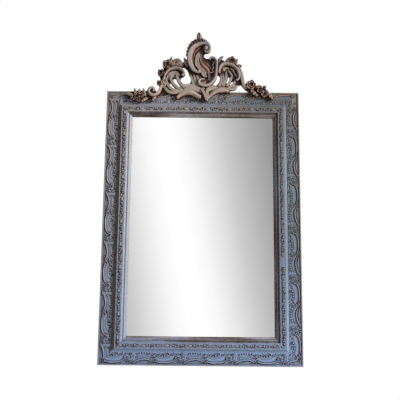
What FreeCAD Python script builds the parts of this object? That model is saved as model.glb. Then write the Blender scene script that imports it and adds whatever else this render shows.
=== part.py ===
import FreeCAD, Part
import math
import os

from FreeCAD import Vector

# Wall mirror with a mitred painted frame and a pierced, carved crest.
# Origin: middle of the bottom edge, on the back plane. +X right, +Z up, the front faces -Y.
# In the comments, t runs inwards from a side's outer edge, s along the side, v forwards from the back plane.

# Overall sizes
FRAME_W = 1000.0
FRAME_H = 1380.0

# Outer moulding: rim bead, ornament band, cove
RIM_W = 8.0
RIM_STEP = 2.5
RIM_RISE = 3.5
BAND_W = 56.0
BAND_V = 34.0
COVE_W = 16.0
COVE_RISE = 13.0
COVE_BOW_SHARE = 0.7

# Inner sight slip: ridge, leaf seat, fillet, hollow, bead, slope down to the glass
RIDGE_W = 5.0
RIDGE_RISE = 2.2
LEAF_W = 22.0
LEAF_SINK = 1.0
FILLET_W = 5.0
FILLET_RISE = 2.2
HOLLOW_W = 7.0
HOLLOW_DROP = 9.0
HOLLOW_BOW_SHARE = 0.3
SIGHT_BEAD_W = 7.0
SIGHT_BEAD_RISE = 2.0
SLOPE_W = 10.0
SLOPE_DROP = 8.0
SLIP_BACK = 14.0
REBATE_W = 12.0

# Running ornament on the band and on the slip
SCROLL_PITCH = 248.0
SCROLL_FILL_SHARE = 0.84
SCROLL_PHASE_SHARES = {"left_stile": 0.57, "top_rail": 0.50, "right_stile": 0.95, "bottom_rail": 0.50}
SCROLL_MID_SHARE = 0.31
SCROLL_SWING = 10.5
SCROLL_HALF_W = 6.0
SCROLL_BASE = 1.5
SCROLL_RISE = 4.5
SCROLL_STATIONS = 13
SPRIG_SPAN_SHARES = ((0.05, 0.40), (0.47, 0.80))
SPRIG_FOOT_SHARES = (0.90, 0.10)
SPRIG_SWING = 9.0
SPRIG_HALF_W = 4.0
SPRIG_STATIONS = 7
LEAF_RUN_RISE = 5.0
LEAF_RUN_MARGIN = 1.0

# Glass and back
GLASS_T = 5.0
GLASS_GAP = 3.0
PANEL_T = 7.0
PANEL_GAP = 1.0
BLOCK_LENGTH = 40.0
BLOCK_PLACE_SHARES = (0.25, 0.75)

# Turn buttons that hold the back panel
BUTTON_T = 3.0
BUTTON_HALF_W = 7.0
BUTTON_GRIP = 14.0
BUTTON_GAP = 0.2
BUTTON_RUN = 0.08
BUTTON_PLACE_SHARES = {"stile": (0.28, 0.72), "rail": (0.5,)}
PIVOT_R = 2.0
PIVOT_DEPTH = 15.0
PIVOT_HEAD_R = 4.5
PIVOT_HEAD_T = 2.5
PIVOT_HEAD_GAP = 0.1

# Corner joints
KEY_LEG = 46.0
KEY_T = 4.0
KEY_V = 24.0
PLATE_T = 2.0
PLATE_W = 22.0
PLATE_LEG = 90.0
PLATE_INSET = 25.0
PLATE_SCREW_SHARES = (0.5, 0.87)
SCREW_R = 2.0
SCREW_HEAD_R = 4.0
SCREW_HEAD_T = 2.0
SCREW_LENGTH = 18.0

# Hangers and wall bumpers
HANGER_DROP = 330.0
STRAP_T = 2.0
STRAP_W = 18.0
STRAP_LENGTH = 58.0
STRAP_SCREW_SHARES = (0.62, 0.86)
RING_WIRE_R = 2.2
RING_RUN = 0.08
RING_LIFT = 0.6
RING_SIDE_GAP = 1.5
RING_BEND = 5.0
RING_LEG = 3.0
BUMPER_R = 13.0
BUMPER_EDGE = 2.0
BUMPER_RISE = 110.0

# Crest: pierced ground, its support and the height of each kind of carving above the ground
CREST_SPAN = 740.0
CREST_RISE = 318.0
GROUND_CLEAR = 2.0
GROUND_T = 12.0
SUPPORT_BACK = 8.0
SUPPORT_MID_SHARES = (-0.27, -0.007, 0.148)
SUPPORT_WIDTHS = (44.0, 90.0, 52.0)
SUPPORT_HEIGHTS = (24.0, 64.0, 24.0)
DOWEL_R = 5.0
DOWEL_V = 20.0
DOWEL_IN_RAIL = 25.0
DOWEL_IN_SUPPORT = 15.0
CREST_SCREW_R = 2.0
CREST_SCREW_HEAD_R = 4.0
CREST_SCREW_GRIP = 8.0
CREST_SCREW_REACH_SHARE = 0.33
CREST_SCREW_RISE_SHARE = 0.6

MAIN_SCROLL_HALF_W = 15.0
MAIN_SCROLL_BASE = 7.0
MAIN_SCROLL_RISE = 10.0
RIGHT_SCROLL_HALF_W = 8.4
RIGHT_SCROLL_BASE = 5.0
RIGHT_SCROLL_RISE = 7.0
ARCH_HALF_W = 7.0
ARCH_BASE = 4.0
ARCH_RISE = 6.0
FROND_HALF_W = 5.5
FROND_BASE = 2.0
FROND_RISE = 4.5
LEAF_HALF_W = 7.0
LEAF_BASE = 2.5
LEAF_RISE = 5.0
FINIAL_HALF_W = 11.0
FLUTE_HALF_W = 8.0
FLUTE_BASE = 1.5
FLUTE_RISE = 5.0
WING_HALF_W = 12.0
WING_BASE = 3.0
WING_RISE = 8.0
ROSE_RISE = 13.0

# Shared by all cuts
OVERRUN = 5.0
QUARTER_TURN = 90.0

# Lines of the carving. Each point is a share of the crest's span from the middle,
# then a share of its rise above the frame.
MAIN_SCROLL_SHARES = (
    (-0.030, 0.312), (-0.048, 0.326), (-0.064, 0.352), (-0.080, 0.408), (-0.091, 0.480), (-0.094, 0.560),
    (-0.088, 0.645), (-0.073, 0.715), (-0.051, 0.765), (-0.026, 0.793), (0.000, 0.800), (0.024, 0.790),
    (0.040, 0.750), (0.040, 0.695), (0.024, 0.662), (0.010, 0.683), (0.009, 0.718), (0.020, 0.735))
MAIN_SCROLL_WIDTH_SHARES = (0.60, 0.85, 1.0, 1.0, 0.90, 0.60, 0.50, 0.40, 0.25)
RIGHT_SCROLL_SHARES = (
    (0.049, 0.520), (0.061, 0.552), (0.081, 0.530), (0.094, 0.471), (0.098, 0.397), (0.091, 0.311),
    (0.080, 0.247), (0.064, 0.183), (0.044, 0.133), (0.020, 0.106), (-0.004, 0.113), (-0.020, 0.146),
    (-0.019, 0.181))
RIGHT_SCROLL_WIDTH_SHARES = (0.5, 0.9, 1.0, 1.0, 1.0, 0.9, 0.5)
LEFT_ARCH_SHARES = (
    (-0.149, 0.275), (-0.137, 0.310), (-0.146, 0.349), (-0.170, 0.378), (-0.200, 0.372), (-0.230, 0.347),
    (-0.252, 0.307), (-0.268, 0.243), (-0.281, 0.179), (-0.291, 0.120), (-0.302, 0.061), (-0.306, -0.010),
    (-0.316, -0.057), (-0.333, -0.082), (-0.353, -0.087), (-0.373, -0.058), (-0.380, -0.015), (-0.370, 0.029),
    (-0.354, 0.044), (-0.342, 0.015), (-0.345, -0.024))
ARCH_WIDTH_SHARES = (0.5, 0.9, 1.0, 1.0, 1.0, 0.9, 0.8, 0.65, 0.5)
RIGHT_ARCH_SHARES = (
    (0.121, 0.287), (0.121, 0.346), (0.127, 0.395), (0.141, 0.435), (0.162, 0.450), (0.188, 0.441),
    (0.212, 0.412), (0.232, 0.363), (0.245, 0.304), (0.249, 0.246), (0.243, 0.191), (0.228, 0.191))
RIGHT_STEM_SHARES = (
    (0.247, 0.392), (0.261, 0.329), (0.274, 0.256), (0.279, 0.192), (0.281, 0.134), (0.291, 0.085))
LEFT_FROND_SHARES = (
    ((-0.135, 0.070), (-0.150, 0.120), (-0.165, 0.158), (-0.176, 0.210), (-0.182, 0.268)),
    ((-0.165, 0.040), (-0.182, 0.052), (-0.198, 0.086), (-0.211, 0.125), (-0.220, 0.175), (-0.232, 0.245)),
    ((-0.198, 0.000), (-0.222, 0.018), (-0.239, 0.066), (-0.249, 0.117), (-0.258, 0.180)),
    ((-0.156, -0.012), (-0.180, -0.034), (-0.212, -0.042), (-0.241, -0.020), (-0.262, 0.032),
     (-0.277, 0.090)))
RIGHT_FROND_SHARES = (
    ((0.118, 0.100), (0.125, 0.150), (0.130, 0.205), (0.129, 0.268)),
    ((0.138, 0.106), (0.143, 0.170), (0.146, 0.238), (0.150, 0.300)),
    ((0.152, 0.100), (0.158, 0.160), (0.163, 0.220), (0.166, 0.290), (0.170, 0.347)),
    ((0.178, 0.092), (0.192, 0.165), (0.201, 0.240), (0.210, 0.299)),
    ((0.202, 0.078), (0.216, 0.112), (0.224, 0.150)),
    ((0.160, 0.053), (0.192, 0.040), (0.222, 0.056), (0.242, 0.105)))
FROND_WIDTH_SHARES = (0.5, 0.9, 1.0, 0.8, 0.25)
LEAF_WIDTH_SHARES = (0.4, 0.9, 1.0, 0.7, 0.15)
FINIAL_SHARES = ((-0.025, 0.872), (-0.029, 0.932), (-0.030, 1.0))
COMB_SHARES = (
    ((-0.117, 0.630), (-0.122, 0.665), (-0.119, 0.700)),
    ((-0.105, 0.705), (-0.110, 0.745), (-0.105, 0.780)),
    ((-0.090, 0.775), (-0.093, 0.815), (-0.084, 0.845)),
    ((-0.068, 0.810), (-0.071, 0.850), (-0.062, 0.880)),
    ((-0.045, 0.835), (-0.049, 0.868), (-0.045, 0.895)),
    ((-0.009, 0.850), (0.004, 0.862), (0.015, 0.850)),
    ((0.024, 0.853), (0.035, 0.840), (0.045, 0.814)))
FLUTE_SHARES = (
    ((-0.039, 0.647), (-0.055, 0.592), (-0.058, 0.522), (-0.048, 0.458), (-0.034, 0.409)),
    ((-0.022, 0.652), (-0.030, 0.582), (-0.026, 0.513), (-0.006, 0.429), (0.014, 0.366)),
    ((-0.010, 0.627), (-0.002, 0.563), (0.014, 0.510), (0.038, 0.445), (0.060, 0.400)),
    ((-0.004, 0.300), (0.006, 0.250), (0.018, 0.205)),
    ((0.030, 0.330), (0.050, 0.275), (0.044, 0.215)))
BASE_LEAF_SHARES = (
    ((-0.020, -0.025), (-0.060, 0.024), (-0.100, 0.037), (-0.149, 0.021)),
    ((-0.075, -0.048), (-0.110, -0.060), (-0.135, -0.085), (-0.158, -0.140)),
    ((-0.056, -0.064), (-0.034, -0.085), (-0.016, -0.140)),
    ((0.010, 0.040), (0.017, -0.043), (0.021, -0.115), (0.027, -0.180)),
    ((0.048, -0.070), (0.062, -0.030), (0.088, 0.020), (0.118, 0.042), (0.145, 0.045)),
    ((0.155, 0.018), (0.170, 0.000), (0.184, -0.020)))
BASE_LEAF_WIDTH_SHARES = (1.0, 0.75, 0.75, 1.0, 0.9, 0.4)

# Half section of a flower, as shares of its radius and of its rise
ROSE_SHARES = ((0, 0), (0.8, 0), (1.0, 0.45), (0.8, 0.85), (0.5, 0.55), (0.36, 1.0), (0, 0.9))

# Flowers: place as above, then the radius; leaves: their lines
LEFT_ROSES = (((-0.253, 0.430), 19.0), ((-0.295, 0.296), 14.0), ((-0.318, 0.124), 8.5))
LEFT_LEAF_SHARES = (
    ((-0.218, 0.445), (-0.205, 0.478), (-0.181, 0.491), (-0.148, 0.437)),
    ((-0.218, 0.525), (-0.222, 0.545), (-0.224, 0.575)),
    ((-0.224, 0.390), (-0.211, 0.420), (-0.178, 0.440)),
    ((-0.124, 0.490), (-0.129, 0.520), (-0.138, 0.560)))
LEFT_GARLAND_ROSES = (((-0.431, -0.095), 13.0), ((-0.448, -0.162), 10.0), ((-0.483, -0.129), 12.0))
LEFT_GARLAND_LEAF_SHARES = (
    ((-0.470, -0.061), (-0.475, -0.015), (-0.477, 0.027)),
    ((-0.448, -0.045), (-0.446, -0.015), (-0.442, 0.020)),
    ((-0.405, -0.085), (-0.411, -0.030), (-0.417, 0.031)),
    ((-0.503, -0.095), (-0.520, -0.064), (-0.548, -0.073)),
    ((-0.396, -0.151), (-0.416, -0.170), (-0.430, -0.200)),
    ((-0.337, -0.120), (-0.342, -0.145), (-0.349, -0.184)))
RIGHT_ROSES = (((0.204, 0.525), 20.0),)
RIGHT_LEAF_SHARES = (
    ((0.110, 0.500), (0.123, 0.543), (0.143, 0.583)),
    ((0.150, 0.490), (0.163, 0.522), (0.168, 0.560)),
    ((0.229, 0.455), (0.241, 0.500), (0.250, 0.540)),
    ((0.240, 0.440), (0.254, 0.430), (0.271, 0.428)))
RIGHT_GARLAND_ROSES = (
    ((0.343, 0.102), 27.0), ((0.398, 0.010), 14.0), ((0.432, -0.062), 15.0), ((0.431, 0.056), 8.0))
RIGHT_GARLAND_LEAF_SHARES = (
    ((0.345, 0.000), (0.363, -0.048), (0.386, -0.085)),
    ((0.380, 0.060), (0.395, 0.078), (0.414, 0.070)),
    ((0.457, -0.031), (0.471, -0.079), (0.487, -0.142)))

# Outline of the pierced ground and of its openings, in the same shares
GROUND_SHARES = (
    (-0.545, -0.075), (-0.520, -0.040), (-0.476, -0.005), (-0.417, 0.000), (-0.389, 0.008), (-0.372, 0.046),
    (-0.354, 0.054), (-0.338, 0.025), (-0.325, -0.017), (-0.305, 0.060), (-0.318, 0.115), (-0.302, 0.179),
    (-0.310, 0.286), (-0.288, 0.340), (-0.274, 0.410), (-0.255, 0.475), (-0.222, 0.535), (-0.190, 0.525),
    (-0.156, 0.470), (-0.134, 0.510), (-0.114, 0.540), (-0.113, 0.656), (-0.096, 0.800), (-0.056, 0.865),
    (-0.030, 0.955), (-0.006, 0.900), (0.024, 0.858), (0.042, 0.806), (0.048, 0.737), (0.040, 0.668),
    (0.014, 0.640), (0.009, 0.570), (0.051, 0.560), (0.085, 0.537), (0.115, 0.540), (0.136, 0.540),
    (0.171, 0.510), (0.200, 0.550), (0.228, 0.520), (0.239, 0.448), (0.261, 0.355), (0.282, 0.219),
    (0.295, 0.140), (0.319, 0.148), (0.344, 0.168), (0.372, 0.119), (0.402, 0.042), (0.437, 0.044),
    (0.472, -0.040), (0.480, -0.120), (0.445, -0.100), (0.385, -0.078), (0.326, -0.015), (0.285, 0.056),
    (0.264, 0.108), (0.239, 0.078), (0.204, 0.023), (0.176, -0.015), (0.101, -0.042), (0.057, -0.104),
    (0.027, -0.165), (-0.011, -0.138), (-0.063, -0.104), (-0.123, -0.102), (-0.165, -0.140),
    (-0.179, -0.100), (-0.225, -0.050), (-0.286, -0.048), (-0.332, -0.116), (-0.355, -0.120),
    (-0.418, -0.155), (-0.458, -0.175), (-0.488, -0.139))
OPENING_SHARES = (
    ((-0.157, 0.402), (-0.137, 0.398), (-0.119, 0.369), (-0.106, 0.322), (-0.098, 0.265), (-0.086, 0.190),
     (-0.092, 0.140), (-0.112, 0.114), (-0.131, 0.116), (-0.148, 0.150), (-0.158, 0.200), (-0.148, 0.228),
     (-0.134, 0.246), (-0.126, 0.274), (-0.126, 0.314), (-0.137, 0.358)),
    ((-0.202, 0.208), (-0.190, 0.190), (-0.182, 0.160), (-0.168, 0.126), (-0.152, 0.078), (-0.160, 0.066),
     (-0.180, 0.084), (-0.198, 0.124), (-0.209, 0.168)),
    ((-0.229, 0.129), (-0.220, 0.104), (-0.208, 0.070), (-0.189, 0.030), (-0.194, 0.014), (-0.211, 0.026),
     (-0.225, 0.068), (-0.233, 0.105)),
    ((0.106, 0.270), (0.116, 0.247), (0.118, 0.200), (0.111, 0.146), (0.099, 0.104), (0.081, 0.093),
     (0.073, 0.106), (0.081, 0.157), (0.092, 0.213)),
    ((0.181, 0.250), (0.186, 0.223), (0.183, 0.188), (0.175, 0.148), (0.168, 0.134), (0.166, 0.149),
     (0.172, 0.187)),
    ((0.209, 0.170), (0.212, 0.153), (0.202, 0.117), (0.193, 0.099), (0.190, 0.115), (0.199, 0.148)))

# Derived places
OUTER_W = RIM_W + BAND_W + COVE_W
BAND_END = RIM_W + BAND_W
COVE_TOP = BAND_V + COVE_RISE
LEAF_START = OUTER_W + RIDGE_W
LEAF_END = LEAF_START + LEAF_W
LEAF_SEAT = COVE_TOP - LEAF_SINK
FILLET_END = LEAF_END + FILLET_W
HOLLOW_END = FILLET_END + HOLLOW_W
HOLLOW_V = LEAF_SEAT - HOLLOW_DROP
SIGHT_BEAD_END = HOLLOW_END + SIGHT_BEAD_W
SIGHT_T = SIGHT_BEAD_END + SLOPE_W
LIP_V = HOLLOW_V - SLOPE_DROP
REBATE_T = SIGHT_T - REBATE_W
GLASS_BACK = SLIP_BACK + PANEL_T
GLASS_FRONT = GLASS_BACK + GLASS_T
PIVOT_T = (OUTER_W + REBATE_T) / 2
BUTTON_ARM = REBATE_T + PANEL_GAP + BUTTON_GRIP - BUTTON_HALF_W - PIVOT_T
BUTTON_FRONT = SLIP_BACK - BUTTON_GAP
BUTTON_BACK = BUTTON_FRONT - BUTTON_T
EYE_BORE_R = RING_WIRE_R + RING_RUN
EYE_OUT_R = EYE_BORE_R + STRAP_T
EYE_Y = STRAP_T + RING_LIFT + RING_WIRE_R
HANGER_X = FRAME_W / 2 - OUTER_W / 2
HANGER_Z = FRAME_H - HANGER_DROP
BUMPER_T = EYE_Y + EYE_OUT_R
GROUND_BACK = BAND_V + RIM_STEP + RIM_RISE + GROUND_CLEAR
CREST_FACE = GROUND_BACK + GROUND_T
SUPPORT_DEPTH = GROUND_BACK - SUPPORT_BACK

INTO = Vector(0, -1, 0)
SIDES = ("left_stile", "top_rail", "right_stile", "bottom_rail")
SIDE_STARTS = (
    Vector(-FRAME_W / 2, 0, 0),
    Vector(-FRAME_W / 2, 0, FRAME_H),
    Vector(FRAME_W / 2, 0, FRAME_H),
    Vector(FRAME_W / 2, 0, 0))


def side_length(side):
    return FRAME_H if SIDES[side].endswith("stile") else FRAME_W


def side_kind(side):
    return SIDES[side].split("_")[1]


def at(t, v, s):
    return Vector(t, -v, s)


def place(shape, side):
    """Turns a shape drawn on the left stile onto another side of the frame."""
    moved = shape.copy()
    moved.rotate(Vector(), Vector(0, 1, 0), QUARTER_TURN * side)
    moved.translate(SIDE_STARTS[side])
    return moved


def section_face(start, moves):
    """Closed face of a section in t and v: a move of one point is a line, one of two points an arc."""
    first = at(start[0], start[1], 0)
    here = first
    edges = []
    for move in moves:
        points = [at(t, v, 0) for t, v in move]
        if len(points) == 1:
            edges.append(Part.makeLine(here, points[0]))
        else:
            edges.append(Part.Arc(here, points[0], points[1]).toShape())
        here = points[-1]
    edges.append(Part.makeLine(here, first))
    return Part.Face(Part.Wire(edges))


def mitre_wedges(length, width, top, past):
    """What the mitres take off a side of this width and height that runs this far past its ends."""
    far = width + OVERRUN
    low = ((-OVERRUN, -OVERRUN), (far, far), (far, -past), (-OVERRUN, -past - OVERRUN))
    high = ((-OVERRUN, length + OVERRUN), (far, length - far), (far, length + past),
            (-OVERRUN, length + past + OVERRUN))
    wedges = []
    for outline in (low, high):
        points = [at(t, -OVERRUN, s) for t, s in outline]
        face = Part.Face(Part.makePolygon(points + points[:1]))
        wedges.append(face.extrude(INTO * (top + OVERRUN + OVERRUN)))
    return wedges


def mitred_run(face, length, width, top):
    run = face.extrude(Vector(0, 0, length))
    return run.cut(mitre_wedges(length, width, top, OVERRUN))


def outer_section():
    cove_mid = (BAND_END + COVE_W * COVE_BOW_SHARE, BAND_V + COVE_RISE * (1 - COVE_BOW_SHARE))
    rim_edge = BAND_V + RIM_STEP
    return section_face((0, 0), (
        ((OUTER_W, 0),),
        ((OUTER_W, COVE_TOP),),
        (cove_mid, (BAND_END, BAND_V)),
        ((RIM_W, BAND_V),),
        ((RIM_W, rim_edge),),
        ((RIM_W / 2, rim_edge + RIM_RISE), (0, rim_edge))))


def slip_section():
    hollow_mid = (FILLET_END + HOLLOW_W * HOLLOW_BOW_SHARE, HOLLOW_V + HOLLOW_DROP * HOLLOW_BOW_SHARE)
    return section_face((OUTER_W, SLIP_BACK), (
        ((OUTER_W, LEAF_SEAT),),
        ((OUTER_W + RIDGE_W / 2, LEAF_SEAT + RIDGE_RISE), (LEAF_START, LEAF_SEAT)),
        ((LEAF_END, LEAF_SEAT),),
        ((LEAF_END + FILLET_W / 2, LEAF_SEAT + FILLET_RISE), (FILLET_END, LEAF_SEAT)),
        (hollow_mid, (HOLLOW_END, HOLLOW_V)),
        ((HOLLOW_END + SIGHT_BEAD_W / 2, HOLLOW_V + SIGHT_BEAD_RISE), (SIGHT_BEAD_END, HOLLOW_V)),
        ((SIGHT_T, LIP_V),),
        ((SIGHT_T, GLASS_FRONT),),
        ((REBATE_T, GLASS_FRONT),),
        ((REBATE_T, SLIP_BACK),)))


def leaf_run_section():
    start = LEAF_START + LEAF_RUN_MARGIN
    end = LEAF_END - LEAF_RUN_MARGIN
    top = ((start + end) / 2, LEAF_SEAT + LEAF_RUN_RISE)
    return section_face((start, LEAF_SEAT), ((top, (end, LEAF_SEAT)),))


def blend_shares(shares, along):
    """Value of a row of shares at a place along it, from 0 to 1."""
    spot = along * (len(shares) - 1)
    index = min(int(spot), len(shares) - 2)
    rest = spot - index
    return shares[index] * (1 - rest) + shares[index + 1] * rest


def rounded_band(points, half_w, base, rise, width_shares, stations):
    """Carved band along a smooth line: flat back, upright edges of height base, and a rounded top."""
    line = Part.BSplineCurve()
    line.interpolate(points)
    whole = line.length()
    wires = []
    for index in range(stations):
        along = index / (stations - 1)
        spot = line.parameterAtDistance(whole * along, line.FirstParameter)
        middle = line.value(spot)
        share = blend_shares(width_shares, along)
        across = line.tangent(spot)[0].cross(INTO) * (half_w * share)
        foot = INTO * (base * share)
        corners = (middle - across, middle - across + foot, middle + across + foot, middle + across)
        crown = middle + INTO * ((base + rise) * share)
        wires.append(Part.Wire([
            Part.makeLine(corners[0], corners[1]),
            Part.Arc(corners[1], crown, corners[2]).toShape(),
            Part.makeLine(corners[2], corners[3]),
            Part.makeLine(corners[3], corners[0])]))
    return Part.makeLoft(wires, True, False)


def band_scroll(start):
    """One reversed scroll of the running ornament, starting this far along its side."""
    middle_t = RIM_W + BAND_W * SCROLL_MID_SHARE
    points = []
    for index in range(SCROLL_STATIONS):
        along = index / (SCROLL_STATIONS - 1)
        t = middle_t - SCROLL_SWING * math.sin(2 * math.pi * along)
        points.append(at(t, BAND_V, start + SCROLL_PITCH * SCROLL_FILL_SHARE * along))
    return rounded_band(points, SCROLL_HALF_W, SCROLL_BASE, SCROLL_RISE, LEAF_WIDTH_SHARES, SCROLL_STATIONS)


def band_sprigs(start):
    """Crescents that fill the two hollows of the scroll that starts this far along its side."""
    sprigs = []
    for (begin, end), foot, sign in zip(SPRIG_SPAN_SHARES, SPRIG_FOOT_SHARES, (-1, 1)):
        points = []
        for index in range(SPRIG_STATIONS):
            along = index / (SPRIG_STATIONS - 1)
            t = RIM_W + BAND_W * foot + sign * SPRIG_SWING * math.sin(math.pi * along)
            points.append(at(t, BAND_V, start + SCROLL_PITCH * (begin + (end - begin) * along)))
        sprigs.append(rounded_band(points, SPRIG_HALF_W, SCROLL_BASE, SPRIG_HALF_W - SCROLL_BASE,
                                   LEAF_WIDTH_SHARES, SPRIG_STATIONS))
    return sprigs


def scroll_run(side):
    """All scrolls and sprigs of one side, cut off at the mitres."""
    length = side_length(side)
    wedges = mitre_wedges(length, OUTER_W, COVE_TOP, SCROLL_PITCH)
    start = SCROLL_PITCH * (SCROLL_PHASE_SHARES[SIDES[side]] - 1)
    solids = []
    while start < length:
        for carving in [band_scroll(start)] + band_sprigs(start):
            if carving.BoundBox.ZMin < OUTER_W or carving.BoundBox.ZMax > length - OUTER_W:
                carving = carving.cut(wedges)
            solids.extend(carving.Solids)
        start += SCROLL_PITCH
    return Part.makeCompound(solids)


def screw(head_r, head_t, shank_r, length):
    """Countersunk screw that points forwards from the origin, its head flush with the back."""
    head = Part.makeCone(head_r, shank_r, head_t, Vector(), INTO)
    shank = Part.makeCylinder(shank_r, length - head_t, INTO * head_t, INTO)
    return head.fuse(shank)


def moved(shape, spot):
    copy = shape.copy()
    copy.translate(spot)
    return copy


def all_corners(shape):
    return [place(shape, side) for side in range(len(SIDES))]


def corner_plate():
    """L-shaped plate let into the back, drawn at the foot of the left stile."""
    far = PLATE_INSET + PLATE_LEG
    near = PLATE_INSET + PLATE_W
    outline = ((PLATE_INSET, PLATE_INSET), (far, PLATE_INSET), (far, near),
               (near, near), (near, far), (PLATE_INSET, far))
    points = [at(t, 0, s) for t, s in outline]
    return Part.Face(Part.makePolygon(points + points[:1])).extrude(INTO * PLATE_T)


def corner_screws():
    middle = PLATE_INSET + PLATE_W / 2
    body = screw(SCREW_HEAD_R, SCREW_HEAD_T, SCREW_R, SCREW_LENGTH)
    screws = []
    for share in PLATE_SCREW_SHARES:
        along = PLATE_INSET + PLATE_LEG * share
        screws.append(moved(body, at(middle, 0, along)))
        screws.append(moved(body, at(along, 0, middle)))
    return Part.makeCompound(screws)


def mitre_key():
    points = [at(0, KEY_V, 0), at(KEY_LEG, KEY_V, 0), at(0, KEY_V, KEY_LEG)]
    return Part.Face(Part.makePolygon(points + points[:1])).extrude(INTO * KEY_T)


def pane(edge, back, thickness):
    """Flat pane that stands this far inside the frame's outer edges."""
    width = FRAME_W - edge - edge
    height = FRAME_H - edge - edge
    return Part.makeBox(width, thickness, height, Vector(-width / 2, -back - thickness, edge))


def setting_blocks():
    blocks = []
    for side in range(len(SIDES)):
        for share in BLOCK_PLACE_SHARES:
            low = at(REBATE_T, GLASS_FRONT, side_length(side) * share - BLOCK_LENGTH / 2)
            blocks.append(place(Part.makeBox(GLASS_GAP, GLASS_T, BLOCK_LENGTH, low), side))
    return Part.makeCompound(blocks)


def turn_button(s):
    """Button with rounded ends, its arm pointing over the back panel."""
    def spot(t, across):
        return at(t, BUTTON_BACK, s + across)

    tip = PIVOT_T + BUTTON_ARM
    half = BUTTON_HALF_W
    face = Part.Face(Part.Wire([
        Part.makeLine(spot(PIVOT_T, -half), spot(tip, -half)),
        Part.Arc(spot(tip, -half), spot(tip + half, 0), spot(tip, half)).toShape(),
        Part.makeLine(spot(tip, half), spot(PIVOT_T, half)),
        Part.Arc(spot(PIVOT_T, half), spot(PIVOT_T - half, 0), spot(PIVOT_T, -half)).toShape()]))
    hole = Part.makeCylinder(PIVOT_R + BUTTON_RUN, BUTTON_T, at(PIVOT_T, BUTTON_BACK, s), INTO)
    return face.extrude(INTO * BUTTON_T).cut(hole)


def pivot_screw(s):
    under_head = BUTTON_BACK - PIVOT_HEAD_GAP
    head = Part.makeCylinder(PIVOT_HEAD_R, PIVOT_HEAD_T, at(PIVOT_T, under_head - PIVOT_HEAD_T, s), INTO)
    shank = Part.makeCylinder(PIVOT_R, SLIP_BACK + PIVOT_DEPTH - under_head, at(PIVOT_T, under_head, s), INTO)
    return head.fuse(shank)


def hanger_strap(x):
    """Strap with a rolled eye at its top end; the eye's bore carries the ring's bar."""
    half = STRAP_W / 2
    plate = Part.makeBox(STRAP_W, STRAP_T, STRAP_LENGTH, Vector(x - half, 0, HANGER_Z - STRAP_LENGTH))
    along = Vector(1, 0, 0)
    eye_start = Vector(x - half, EYE_Y, HANGER_Z)
    eye = Part.makeCylinder(EYE_OUT_R, STRAP_W, eye_start, along)
    bore = Part.makeCylinder(EYE_BORE_R, STRAP_W, eye_start, along)
    return plate.fuse(eye).cut(bore).removeSplitter()


def strap_screws(x):
    """Screws through the strap, their heads flush with its outer face."""
    body = screw(SCREW_HEAD_R, SCREW_HEAD_T, SCREW_R, SCREW_LENGTH)
    return [moved(body, Vector(x, STRAP_T, HANGER_Z - STRAP_LENGTH * share)) for share in STRAP_SCREW_SHARES]


def hanger_ring(x):
    """D-shaped ring of round wire that hangs down from its straight bar."""
    bar = STRAP_W / 2 + RING_SIDE_GAP
    reach = bar + RING_BEND
    bend_low = RING_BEND + RING_LEG
    slant = RING_BEND * math.sqrt(0.5)

    def spot(dx, drop):
        return Vector(x + dx, EYE_Y, HANGER_Z - drop)

    edges = [Part.makeLine(spot(0, 0), spot(bar, 0)),
             Part.Arc(spot(bar, 0), spot(bar + slant, RING_BEND - slant), spot(reach, RING_BEND)).toShape(),
             Part.makeLine(spot(reach, RING_BEND), spot(reach, bend_low)),
             Part.Arc(spot(reach, bend_low), spot(0, bend_low + reach), spot(-reach, bend_low)).toShape(),
             Part.makeLine(spot(-reach, bend_low), spot(-reach, RING_BEND)),
             Part.Arc(spot(-reach, RING_BEND), spot(-bar - slant, RING_BEND - slant), spot(-bar, 0)).toShape(),
             Part.makeLine(spot(-bar, 0), spot(0, 0))]
    wire_section = Part.Wire([Part.makeCircle(RING_WIRE_R, spot(0, 0), Vector(1, 0, 0))])
    return Part.Wire(edges).makePipeShell([wire_section], True, False)


def wall_bumper(x):
    """Soft pad on the back of a stile, as thick as the hangers stand out."""
    pad = Part.makeCylinder(BUMPER_R, BUMPER_T - BUMPER_EDGE, Vector(x, 0, BUMPER_RISE), Vector(0, 1, 0))
    crown = Part.makeCone(BUMPER_R, BUMPER_R - BUMPER_EDGE, BUMPER_EDGE,
                          Vector(x, BUMPER_T - BUMPER_EDGE, BUMPER_RISE), Vector(0, 1, 0))
    return pad.fuse(crown)


def crest_spot(shares):
    """Point on the front of the crest's ground."""
    return Vector(CREST_SPAN * shares[0], -CREST_FACE, FRAME_H + CREST_RISE * shares[1])


def crest_band(shares, half_w, base, rise, width_shares):
    points = [crest_spot(pair) for pair in shares]
    return rounded_band(points, half_w, base, rise, width_shares, len(points) + len(points) - 1)


def crest_outline(shares):
    line = Part.BSplineCurve()
    line.interpolate([crest_spot(pair) + INTO * -GROUND_T for pair in shares], True)
    return Part.Wire([line.toShape()])


def crest_ground():
    face = Part.Face([crest_outline(GROUND_SHARES)] + [crest_outline(shares) for shares in OPENING_SHARES])
    face.validate()
    return face.extrude(INTO * GROUND_T)


def rose(shares, radius):
    """Flower with an open ring of petals around a bud, turned about the axis through its middle."""
    points = [Vector(radius * out, -ROSE_RISE * up, 0) for out, up in ROSE_SHARES]
    flower = Part.Face(Part.makePolygon(points + points[:1])).revolve(Vector(), Vector(0, 1, 0))
    return moved(flower, crest_spot(shares))


def flowers(roses, leaf_shares):
    solids = [rose(spot, radius) for spot, radius in roses]
    for shares in leaf_shares:
        solids.append(crest_band(shares, LEAF_HALF_W, LEAF_BASE, LEAF_RISE, LEAF_WIDTH_SHARES))
    return Part.makeCompound(solids)


def fronds(rows):
    return Part.makeCompound([
        crest_band(row, FROND_HALF_W, FROND_BASE, FROND_RISE, FROND_WIDTH_SHARES) for row in rows])


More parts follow.
